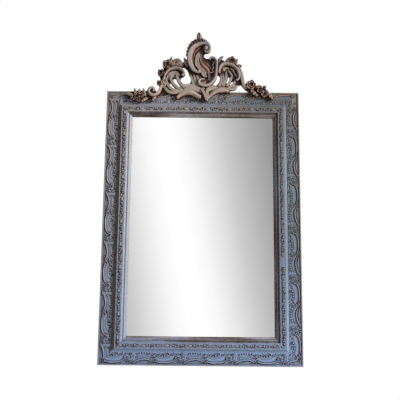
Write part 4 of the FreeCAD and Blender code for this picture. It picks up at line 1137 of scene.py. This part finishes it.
RIGHT_STEM_SHARES = ((250, 405), (262, 335), (272, 250), (279, 165), (288, 95), (302, 40))
RIGHT_STEM_SIZE = (10.5, 9.0)
LEFT_FROND_SHARES = (
    ((-128, 40), (-150, 96), (-168, 150), (-181, 210), (-187, 290)),
    ((-150, 20), (-178, 46), (-198, 86), (-214, 130), (-226, 190), (-234, 275)),
    ((-172, 0), (-205, 4), (-228, 38), (-246, 95), (-262, 170), (-268, 220)),
    ((-141, 15), (-170, -22), (-208, -40), (-241, -22), (-264, 32), (-284, 90)))
LEFT_FROND_SIZE = (9.0, 9.0)
RIGHT_FROND_SHARES = (
    ((112, 70), (124, 130), (128, 200), (125, 285)),
    ((135, 80), (142, 140), (143, 205), (142, 290)),
    ((146, 80), (154, 138), (160, 205), (164, 330)),
    ((165, 75), (184, 135), (196, 205), (207, 275)),
    ((178, 55), (203, 85), (218, 133), (228, 190)),
    ((160, 40), (192, 28), (222, 40), (244, 100)))
RIGHT_FROND_SIZE = (7.0, 9.0)
FROND_LIFT = (1, -3)
FINIAL_SHARES = ((-26, 865), (-30, 935), (-31, 1007))
FINIAL_SIZE = (14.0, 12.0)
# Comb: where its pleats start and end, then the smooth rim to the right of the finial
COMB_INNER_SHARES = ((-104, 600), (-99, 675), (-83, 745), (-60, 795), (-34, 820), (-6, 828))
COMB_OUTER_SHARES = ((-117, 630), (-113, 705), (-99, 790), (-75, 855), (-47, 888), (-12, 890))
COMB_PLEATS = 8
COMB_LIFT = (4, -2)
COMB_SIZE = (9.2, 11.0)
COMB_RIM_SHARES = ((-12, 890), (8, 868), (29, 826), (43, 775), (46, 720))
COMB_RIM_WIDTH_SHARES = (0.6, 1, 1, 0.6)
COMB_RIM_SIZE = (7.0, 9.0)
COMB_BEADS = (((13, 835), 6.5, 11.0),)

# Guide lines of the sheets: line, rise along it, wax and painted shade, rubbed paint
# The shell's edge under the main scroll and its grooves are dark with wax and painted shade.
SHELL_GUIDES = (
    (((-8, 772), (-36, 745), (-56, 697), (-70, 633), (-75, 565), (-76, 497), (-71, 425), (-60, 372)),
     (-9, -9, -9, -9, -7), 1, 0),
    (((-12, 761), (-34, 736), (-52, 690), (-64, 633), (-69, 565), (-70, 497), (-65, 430), (-56, 382)),
     (-5, -2, -1, -1, -3), 0.45, 0.6),
    (((-14, 722), (-38, 692), (-54, 643), (-61, 575), (-63, 497), (-59, 430), (-49, 387)),
     (-10, -9, -8, -8, -7), 0.95, 0),
    (((-34, 663), (-48, 614), (-56, 546), (-58, 478), (-51, 421), (-33, 373), (-17, 315), (3, 239)),
     (-6, 0, 3, 4, 1), 0.15, 0.3),
    (((-28, 653), (-40, 595), (-45, 527), (-44, 459), (-35, 411), (-19, 363), (-1, 306), (15, 230)),
     (-6, -0.5, 2, 3, 0.5), 0.12, 0),
    (((-22, 644), (-30, 576), (-32, 508), (-28, 450), (-17, 402), (-1, 359), (15, 307), (27, 230)),
     (-6, 1, 4, 5, 2), 0.1, 0.3),
    (((-19, 639), (-25, 566), (-25, 498), (-19, 445), (-7, 402), (11, 359), (27, 307), (35, 240)),
     (-8, -3, -1, 0, -3), 0.55, 0.2),
    (((-16, 639), (-19, 566), (-17, 499), (-5, 446), (9, 412), (27, 369), (43, 317), (45, 259)),
     (-6, 1, 5, 6, 2), 0.15, 0.4),
    (((-12, 634), (-12, 566), (-5, 504), (10, 461), (26, 432), (42, 394), (54, 336), (54, 279)),
     (-7, -3, -1, 0, -3), 0.75, 0.1),
    (((-10, 630), (-8, 564), (1, 509), (17, 473), (34, 445), (49, 404), (58, 346), (57, 288)),
     (-6, -1, 3, 4, 0), 0.3, 0.5),
    (((-9, 625), (-5, 562), (6, 514), (24, 485), (42, 457), (56, 414), (62, 356), (60, 298)),
     (-8, -6, -4, -3, -4), 0.92, 0),
    (((-6, 625), (2, 578), (18, 552), (38, 543), (58, 512), (72, 460), (77, 385), (72, 312)),
     (-6, -5, -5, -6, -7), 0.95, 0))
FRILL_SHARES = (
    (62, 501), (76, 474), (67, 430), (72, 386), (63, 353), (71, 315), (59, 303), (33, 292), (42, 259),
    (35, 221))
FRILL_WIDTH_SHARES = (0.6, 1, 1, 1, 1, 0.6)
FRILL_SIZE = (3.4, 10.0)
# The lowest guide of each base leaf is fully dark: painted shadow under the leaf's lip.
LEFT_BASE_GUIDES = (
    (((-187, -98), (-170, -46), (-146, -2), (-108, 12), (-72, 2), (-40, -45), (-10, -85)),
     (0, 2, 4, 4, 3), 0.25, 0.1),
    (((-184, -104), (-167, -58), (-142, -18), (-108, -12), (-75, -22), (-44, -62), (-12, -100)),
     (4, 8, 10, 10, 9), 0, 0.2),
    (((-180, -116), (-163, -75), (-138, -48), (-108, -43), (-78, -55), (-48, -88), (-16, -120)),
     (6, 12, 15, 15, 16), 0, 0.1),
    (((-176, -134), (-157, -95), (-129, -70), (-100, -66), (-67, -86), (-42, -118), (-14, -140)),
     (4, 8, 10, 10, 14), 0.3, 0.6),
    (((-173, -151), (-152, -111), (-120, -86), (-88, -85), (-57, -115), (-37, -147), (-17, -152)),
     (0, 1, 2, 2, 4), 1, 0.2))
RIGHT_BASE_GUIDES = (
    (((26, -110), (40, -62), (58, -20), (78, 18), (105, 46), (140, 56), (172, 46)),
     (2, 4, 4, 2), 0.35, 0.1),
    (((28, -126), (44, -80), (63, -40), (84, -4), (108, 24), (140, 34), (176, 26)),
     (6, 10, 10, 6), 0.1, 0.3),
    (((28, -148), (50, -100), (72, -58), (97, -22), (124, -2), (152, -2), (184, -6)),
     (8, 13, 12, 8), 0, 0.1),
    (((28, -174), (54, -116), (77, -74), (108, -40), (138, -36), (163, -30), (192, -38)),
     (0, 1, 2, 2), 1, 0.2))
FUNNEL_SHARES = (
    ((-12, 30), (4, -30), (16, -95), (24, -168)),
    ((30, 30), (28, -35), (30, -100), (30, -178)))
FUNNEL_WIDTH_SHARES = (0.7, 1, 0.9, 0.4)
FUNNEL_LIFT = (0, 3)
FUNNEL_SIZE = (9.0, 10.0)
CENTRE_LEAF_SHARES = (
    ((-86, 260), (-77, 180), (-64, 105), (-45, 40)),
    ((-64, 262), (-57, 190), (-43, 123), (-20, 45)),
    ((-44, 255), (-32, 181), (-16, 105), (4, 40)))
CENTRE_LEAF_SIZE = (8.5, 9.0)
CENTRE_VEIN_SIZE = (2.0, 2.0)
LEFT_BODY_SHARES = ((-195, 2), (-150, 36), (-105, 60), (-60, 50), (-10, 10))
LEFT_BODY_SIZE = (22.0, 9.0)
RIGHT_BODY_SHARES = ((14, -20), (50, 50), (95, 85), (140, 88), (190, 62), (228, 70))
RIGHT_BODY_SIZE = (18.0, 9.0)
BODY_VEIN_SIZE = (2.5, 2.0)

# Flowers: place and radius; leaves: their lines
LEFT_ROSES = (((-253, 440), 28), ((-296, 297), 20), ((-309, 124), 13))
ROSE_RISE = 16.0
ROSE_TURN = 0.9
PETALS = 5
LEFT_LEAF_SHARES = (
    ((-240, 400), (-232, 486), (-222, 578)),
    ((-210, 470), (-188, 516), (-164, 488), (-138, 425)),
    ((-216, 390), (-212, 465), (-215, 525)),
    ((-206, 405), (-180, 445), (-160, 425), (-142, 395)),
    ((-112, 390), (-122, 480), (-138, 562)))
LEFT_LEAF_SIZE = (11.0, 9.0)
LEFT_GARLAND_ROSES = (((-431, -95), 15), ((-448, -162), 12), ((-483, -129), 14))
LEFT_GARLAND_LEAF_SHARES = (
    ((-466, -90), (-475, -25), (-479, 30)),
    ((-448, -75), (-446, -25), (-442, 22)),
    ((-402, -105), (-411, -35), (-418, 33)),
    ((-490, -105), (-520, -64), (-550, -73)),
    ((-386, -131), (-412, -165), (-432, -205)),
    ((-330, -100), (-341, -140), (-350, -190)))
LEFT_GARLAND_LEAF_SIZE = (9.0, 9.0)
RIGHT_ROSES = (((200, 516), 24),)
RIGHT_LEAF_SHARES = (
    ((104, 470), (118, 540), (143, 594)), ((158, 465), (170, 520), (177, 562)),
    ((220, 460), (234, 508), (242, 550)), ((232, 430), (254, 430), (274, 428)))
RIGHT_LEAF_SIZE = (9.0, 9.0)
RIGHT_GARLAND_ROSES = (((337, 106), 27), ((398, 18), 17), ((430, -50), 18), ((430, 60), 10))
RIGHT_GARLAND_LEAF_SHARES = (
    ((335, 30), (360, -40), (388, -90)), ((370, 50), (395, 80), (416, 72)),
    ((450, -21), (471, -79), (489, -146)))
RIGHT_GARLAND_LEAF_SIZE = (9.5, 9.0)
LEAF_LIFT = 2.0

# Places on the ground where the wood shows rusty brown, and their radius
RUSTY_PLACES = (((-355, -12), 13), ((6, 150), 12), ((56, 215), 14), ((-225, 318), 20), ((150, 400), 14))
RUSTY_WAX_SHARE = 0.05
# Low ground between the carvings is darkened with wax and painted shade.
HOLLOW_WAX_AND_SHADE_SHARE = 0.9

# Outline of the pierced ground and of its openings
GROUND_SHARES = (
    (-545, -75), (-520, -40), (-476, -5), (-417, 0), (-389, 8), (-372, 46), (-354, 54), (-338, 25),
    (-325, -17), (-305, 60), (-318, 115), (-302, 179), (-310, 286), (-288, 340), (-274, 410), (-255, 475),
    (-222, 535), (-190, 525), (-156, 470), (-134, 510), (-114, 540), (-113, 656), (-96, 800), (-56, 865),
    (-30, 955), (-6, 900), (24, 858), (42, 806), (48, 737), (40, 668), (14, 640), (9, 570), (51, 560),
    (85, 537), (115, 540), (136, 540), (171, 510), (200, 550), (228, 520), (239, 448), (261, 355),
    (282, 219), (295, 140), (319, 148), (344, 168), (372, 119), (402, 42), (437, 44), (472, -40),
    (480, -120), (445, -100), (385, -78), (326, -15), (285, 56), (264, 108), (239, 78), (204, 23),
    (176, -15), (101, -42), (57, -104), (27, -165), (-11, -138), (-63, -104), (-123, -102), (-165, -140),
    (-179, -100), (-225, -50), (-286, -48), (-332, -116), (-355, -120), (-418, -155), (-458, -175),
    (-488, -139))
OPENING_SHARES = (
    ((-157, 402), (-137, 398), (-119, 369), (-106, 322), (-98, 265), (-86, 190), (-92, 140), (-112, 114),
     (-131, 116), (-148, 150), (-158, 200), (-148, 228), (-134, 246), (-126, 274), (-126, 314), (-137, 358)),
    ((-202, 208), (-190, 190), (-182, 160), (-168, 126), (-152, 78), (-160, 66), (-180, 84), (-198, 124),
     (-209, 168)),
    ((-229, 129), (-220, 104), (-208, 70), (-189, 30), (-194, 14), (-211, 26), (-225, 68), (-233, 105)),
    ((106, 270), (116, 247), (118, 200), (111, 146), (99, 104), (81, 93), (73, 106), (81, 157), (92, 213)),
    ((181, 250), (186, 223), (183, 188), (175, 148), (168, 134), (166, 149), (172, 187)),
    ((209, 170), (212, 153), (202, 117), (193, 99), (190, 115), (199, 148)))
OUTLINE_STEP = 0.7


def carve(name, node, fill, added_darkening=0.0):
    """Makes one carved piece of the crest, darkened all over by the given amount."""
    carving = Carving()
    fill(carving)
    carving.wax = [rows + added_darkening for rows in carving.wax]
    carving.piece(name, materials["carving"], "painted_carving", [node])


def main_scroll(carving):
    sweep(carving, crest_points(MAIN_SCROLL_SHARES), MAIN_SCROLL_SIZE, MAIN_SECTION_SHARES,
          MAIN_SCROLL_WIDTH_SHARES, MAIN_SCROLL_LIFT)
    add_beads(carving, MAIN_SCROLL_BEADS)


def right_scroll(carving):
    sweep(carving, crest_points(RIGHT_SCROLL_SHARES), RIGHT_SCROLL_SIZE, ARCH_SECTION_SHARES,
          RIGHT_SCROLL_WIDTH_SHARES, RIGHT_SCROLL_LIFT)
    add_beads(carving, RIGHT_SCROLL_BEADS)


def left_arch(carving):
    sweep(carving, crest_points(LEFT_CURL_SHARES), LEFT_CURL_SIZE, ARCH_SECTION_SHARES,
          LEFT_CURL_WIDTH_SHARES, LEFT_CURL_LIFT)
    sweep(carving, crest_points(LEFT_ARCH_SHARES), LEFT_ARCH_SIZE, ARCH_SECTION_SHARES,
          LEFT_ARCH_WIDTH_SHARES, LEFT_ARCH_LIFT)
    for shares in LEFT_ARCH_LEAF_SHARES:
        leaf(carving, crest_points(shares), LEFT_ARCH_LEAF_SIZE, lobes=3)
    add_beads(carving, LEFT_ARCH_BEADS)


def right_arch(carving):
    sweep(carving, crest_points(RIGHT_ARCH_SHARES), RIGHT_ARCH_SIZE, ARCH_SECTION_SHARES,
          RIGHT_ARCH_WIDTH_SHARES, RIGHT_ARCH_LIFT)
    sweep(carving, crest_points(RIGHT_STEM_SHARES), RIGHT_STEM_SIZE, FROND_SECTION_SHARES,
          FROND_WIDTH_SHARES)
    add_beads(carving, RIGHT_ARCH_BEADS)


def comb(carving):
    inner = smooth_line(crest_points(COMB_INNER_SHARES), COMB_PLEATS)
    outer = smooth_line(crest_points(COMB_OUTER_SHARES), COMB_PLEATS)
    for start, end in zip(inner, outer):
        sweep(carving, (start, (start + end) / 2, end), COMB_SIZE, CELL_SECTION_SHARES, PLEAT_WIDTH_SHARES,
              COMB_LIFT)
    sweep(carving, crest_points(COMB_RIM_SHARES), COMB_RIM_SIZE, PLEAT_SECTION_SHARES, COMB_RIM_WIDTH_SHARES)
    add_beads(carving, COMB_BEADS)


def finial(carving):
    leaf(carving, crest_points(FINIAL_SHARES), FINIAL_SIZE, lobes=1)


def shell(carving):
    sheet(carving, SHELL_GUIDES)
    sweep(carving, crest_points(FRILL_SHARES), FRILL_SIZE, PLEAT_SECTION_SHARES, FRILL_WIDTH_SHARES)


def frond_fan(rows, size):
    def fill(carving):
        for shares in rows:
            sweep(carving, crest_points(shares), size, FROND_SECTION_SHARES, FROND_WIDTH_SHARES, FROND_LIFT)
    return fill


def base_leaves(carving):
    sheet(carving, LEFT_BASE_GUIDES)
    sheet(carving, RIGHT_BASE_GUIDES)
    for shares in FUNNEL_SHARES:
        sweep(carving, crest_points(shares), FUNNEL_SIZE, FROND_SECTION_SHARES, FUNNEL_WIDTH_SHARES,
              FUNNEL_LIFT)


def flowers(roses, leaf_rows, leaf_size, lobes=3):
    def fill(carving):
        for number, shares in enumerate(leaf_rows):
            leaf(carving, crest_points(shares), leaf_size, lobes, (0, LEAF_LIFT + number % 2))
        for number, (spot, radius) in enumerate(roses):
            rose(carving, spot, radius, ROSE_RISE, PETALS, ROSE_TURN * number)
    return fill


def ground():
    """Pierced ground with the bodies that the fronds spring from and the rings under the arches."""
    corners = np.array(crest_points(GROUND_SHARES))
    margin = 2 * GROUND_STEP
    relief = Relief(corners.min(axis=0) - margin, corners.max(axis=0) + margin, GROUND_STEP)
    relief.ridge(crest_points(LEFT_LOBE_SHARES), *LEFT_LOBE_SIZE, (0.7, 1, 1, 0.7))
    for shares in (LEFT_RING_SHARES,) + HANGING_LEAF_SHARES:
        relief.ridge(crest_points(shares), *HANGING_LEAF_SIZE)
    for shares, size in ((LEFT_BODY_SHARES, LEFT_BODY_SIZE), (RIGHT_BODY_SHARES, RIGHT_BODY_SIZE)):
        relief.ridge(crest_points(shares), *size, (0.6, 1, 1, 0.7))
        relief.trench(crest_points(shares), *BODY_VEIN_SIZE, (0.4, 1, 1, 0.4))
    for shares in CENTRE_LEAF_SHARES:
        relief.ridge(crest_points(shares), *CENTRE_LEAF_SIZE, (0.6, 1, 1, 0.8))
        relief.trench(crest_points(shares), *CENTRE_VEIN_SIZE)
    relief.finish(size=10.0, wax_depth=2.5, rub_from=1.5, rub_to=5.0)
    relief.wax = np.where(relief.height < 1.0, HOLLOW_WAX_AND_SHADE_SHARE, relief.wax)
    for spot, reach in RUSTY_PLACES:
        (x, z), = crest_points([spot])
        near = np.hypot(relief.s - x, relief.t - z) < reach
        relief.wax[near] = np.minimum(relief.wax[near], RUSTY_WAX_SHARE)
    outlines = [closed_line(crest_points(shares), OUTLINE_STEP)
                for shares in (GROUND_SHARES,) + OPENING_SHARES]
    pierced_board("pierced_ground", relief, outlines, materials["ground"], "painted_carving",
                  ["crest_ground"])


ground()
carve("main_scroll", "crest_main_scroll", main_scroll)
carve("right_scroll", "crest_right_scroll", right_scroll)
carve("left_arch", "crest_left_arch", left_arch, added_darkening=0.08)
carve("right_arch", "crest_right_arch", right_arch, added_darkening=0.06)
carve("comb", "crest_comb", comb, added_darkening=0.22)
carve("finial", "crest_finial", finial, added_darkening=0.25)
carve("shell", "crest_shell", shell, added_darkening=0.14)
carve("left_fronds", "crest_left_fronds", frond_fan(LEFT_FROND_SHARES, LEFT_FROND_SIZE), added_darkening=-0.04)
carve("right_fronds", "crest_right_fronds", frond_fan(RIGHT_FROND_SHARES, RIGHT_FROND_SIZE))
carve("base_acanthus", "crest_base_leaves", base_leaves, added_darkening=-0.08)
carve("left_flowers", "crest_left_flowers",
      flowers(LEFT_ROSES, LEFT_LEAF_SHARES, LEFT_LEAF_SIZE, lobes=1), added_darkening=0.12)
carve("right_flowers", "crest_right_flowers",
      flowers(RIGHT_ROSES, RIGHT_LEAF_SHARES, RIGHT_LEAF_SIZE), added_darkening=0.14)
carve("left_garland", "crest_left_garland",
      flowers(LEFT_GARLAND_ROSES, LEFT_GARLAND_LEAF_SHARES, LEFT_GARLAND_LEAF_SIZE))
carve("right_garland", "crest_right_garland",
      flowers(RIGHT_GARLAND_ROSES, RIGHT_GARLAND_LEAF_SHARES, RIGHT_GARLAND_LEAF_SIZE))


# Camera at the photograph's place

CAMERA_PLACE = (-0.01202, -2.29884, 0.52283)
CAMERA_TURN = (-0.12653, -0.00108, 0.00988)
FOCAL_PIXELS = 450.0
IMAGE_PIXELS = 400.0
SENSOR_W = 36.0


def add_camera():
    data = bpy.data.cameras.new("camera")
    data.sensor_width = SENSOR_W
    data.lens = SENSOR_W * FOCAL_PIXELS / IMAGE_PIXELS
    camera = bpy.data.objects.new("camera", data)
    bpy.context.scene.collection.objects.link(camera)
    bpy.context.scene.camera = camera
    turn = (Matrix.Rotation(CAMERA_TURN[2], 3, "Z") @ Matrix.Rotation(CAMERA_TURN[1], 3, "Y")
            @ Matrix.Rotation(CAMERA_TURN[0], 3, "X") @ Matrix(((1, 0, 0), (0, 0, -1), (0, 1, 0))))
    axes = Matrix((turn[0], -turn[1], -turn[2])).transposed()
    camera.matrix_world = Matrix.Translation(CAMERA_PLACE) @ axes.to_4x4()


# Floor, reflected card, lamps and white surroundings

FLOOR_Z = -1.0
FLOOR_REACH = 3.0
FLOOR_BACK = 2.6
CARD_Y = -4.0
CARD_HALF = 3.5
CARD_SLANT = 0.19
CARD_WHITE_X = -0.10
CARD_FADE = 1.5
CARD_STRENGTH = 1.02
# Lamps: place, size, power, colour
LAMP_AIM = (0.0, 0.0, 0.8)
KEY_LAMP = ((3.4, -2.3, 1.9), 1.4, 270.0, (1.0, 0.98, 0.95))
BACK_LAMP = ((-2.2, 3.2, 2.4), 1.2, 100.0, (1.0, 1.0, 1.0))
DIM_LIGHT = (0.20, 0.21, 0.23, 1.0)
WHITE = (1.0, 1.0, 1.0, 1.0)


def add_plane(name, corners, material):
    mesh = bpy.data.meshes.new(name)
    mesh.from_pydata(corners, [], [(0, 1, 2, 3)])
    plane = bpy.data.objects.new(name, mesh)
    bpy.context.scene.collection.objects.link(plane)
    mesh.materials.append(material)
    return plane


def floor_material():
    shader = Shader("pale_floor")
    grain = shader.noise(30.0)
    colour = shader.ramp(grain, ((0.3, srgb(232, 232, 231)), (0.7, srgb(238, 238, 237))))
    return shader.finish(colour, shader.scale(grain, 0.3, 0.7, 0.7, 0.8), specular=0.2)


def card_material():
    """Card that the mirror looks at: white along a slanted line, falling to grey on both sides."""
    shader = Shader("grey_card")
    x, _, z = shader.axes()
    slant = shader.math("ADD", x, shader.math("MULTIPLY", z, CARD_SLANT))
    away = shader.math("ABSOLUTE", shader.math("SUBTRACT", slant, CARD_WHITE_X))
    grey = shader.ramp(shader.scale(away, 0.0, CARD_FADE), (
        (0.00, 1.0), (0.08, 1.0), (0.19, 0.95), (0.37, 0.79), (0.56, 0.60), (0.74, 0.47), (1.00, 0.32)))
    light = shader.node("ShaderNodeEmission", {"Color": grey, "Strength": CARD_STRENGTH})
    shader.set(shader.tree.nodes["Material Output"].inputs["Surface"], light.outputs[0])
    return shader.material


def add_stage():
    add_plane("floor", [(-FLOOR_REACH, -FLOOR_REACH, FLOOR_Z), (FLOOR_REACH, -FLOOR_REACH, FLOOR_Z),
                        (FLOOR_REACH, FLOOR_BACK, FLOOR_Z), (-FLOOR_REACH, FLOOR_BACK, FLOOR_Z)],
              floor_material())
    card = add_plane("card", [(-CARD_HALF, CARD_Y, FLOOR_Z), (CARD_HALF, CARD_Y, FLOOR_Z),
                              (CARD_HALF, CARD_Y, CARD_HALF), (-CARD_HALF, CARD_Y, CARD_HALF)],
                     card_material())
    card.visible_camera = False
    card.visible_diffuse = False
    card.visible_shadow = False


def add_lamp(name, place, size, power, colour):
    data = bpy.data.lights.new(name, "AREA")
    data.shape = "DISK"
    data.size = size
    data.energy = power
    data.color = colour
    lamp = bpy.data.objects.new(name, data)
    bpy.context.scene.collection.objects.link(lamp)
    lamp.location = place
    lamp.rotation_euler = (Vector(LAMP_AIM) - Vector(place)).to_track_quat("-Z", "Y").to_euler()


def add_world():
    """White where the camera, the mirror or a clear piece looks past the object, dim light elsewhere."""
    world = bpy.data.worlds.new("studio")
    bpy.context.scene.world = world
    world.use_nodes = True
    tree = world.node_tree
    path = tree.nodes.new("ShaderNodeLightPath").outputs
    seen = path["Is Camera Ray"]
    for ray in ("Is Glossy Ray", "Is Transmission Ray"):
        either = tree.nodes.new("ShaderNodeMath")
        either.operation = "MAXIMUM"
        tree.links.new(seen, either.inputs[0])
        tree.links.new(path[ray], either.inputs[1])
        seen = either.outputs[0]
    mix = tree.nodes.new("ShaderNodeMix")
    mix.data_type = "RGBA"
    mix.inputs[6].default_value = DIM_LIGHT
    mix.inputs[7].default_value = WHITE
    tree.links.new(seen, mix.inputs[0])
    background = tree.nodes["Background"]
    background.inputs["Strength"].default_value = 1.0
    tree.links.new(mix.outputs[2], background.inputs["Color"])


add_camera()
add_stage()
add_lamp("key", *KEY_LAMP)
add_lamp("back_fill", *BACK_LAMP)
add_world()
bpy.context.scene.view_settings.view_transform = "Standard"
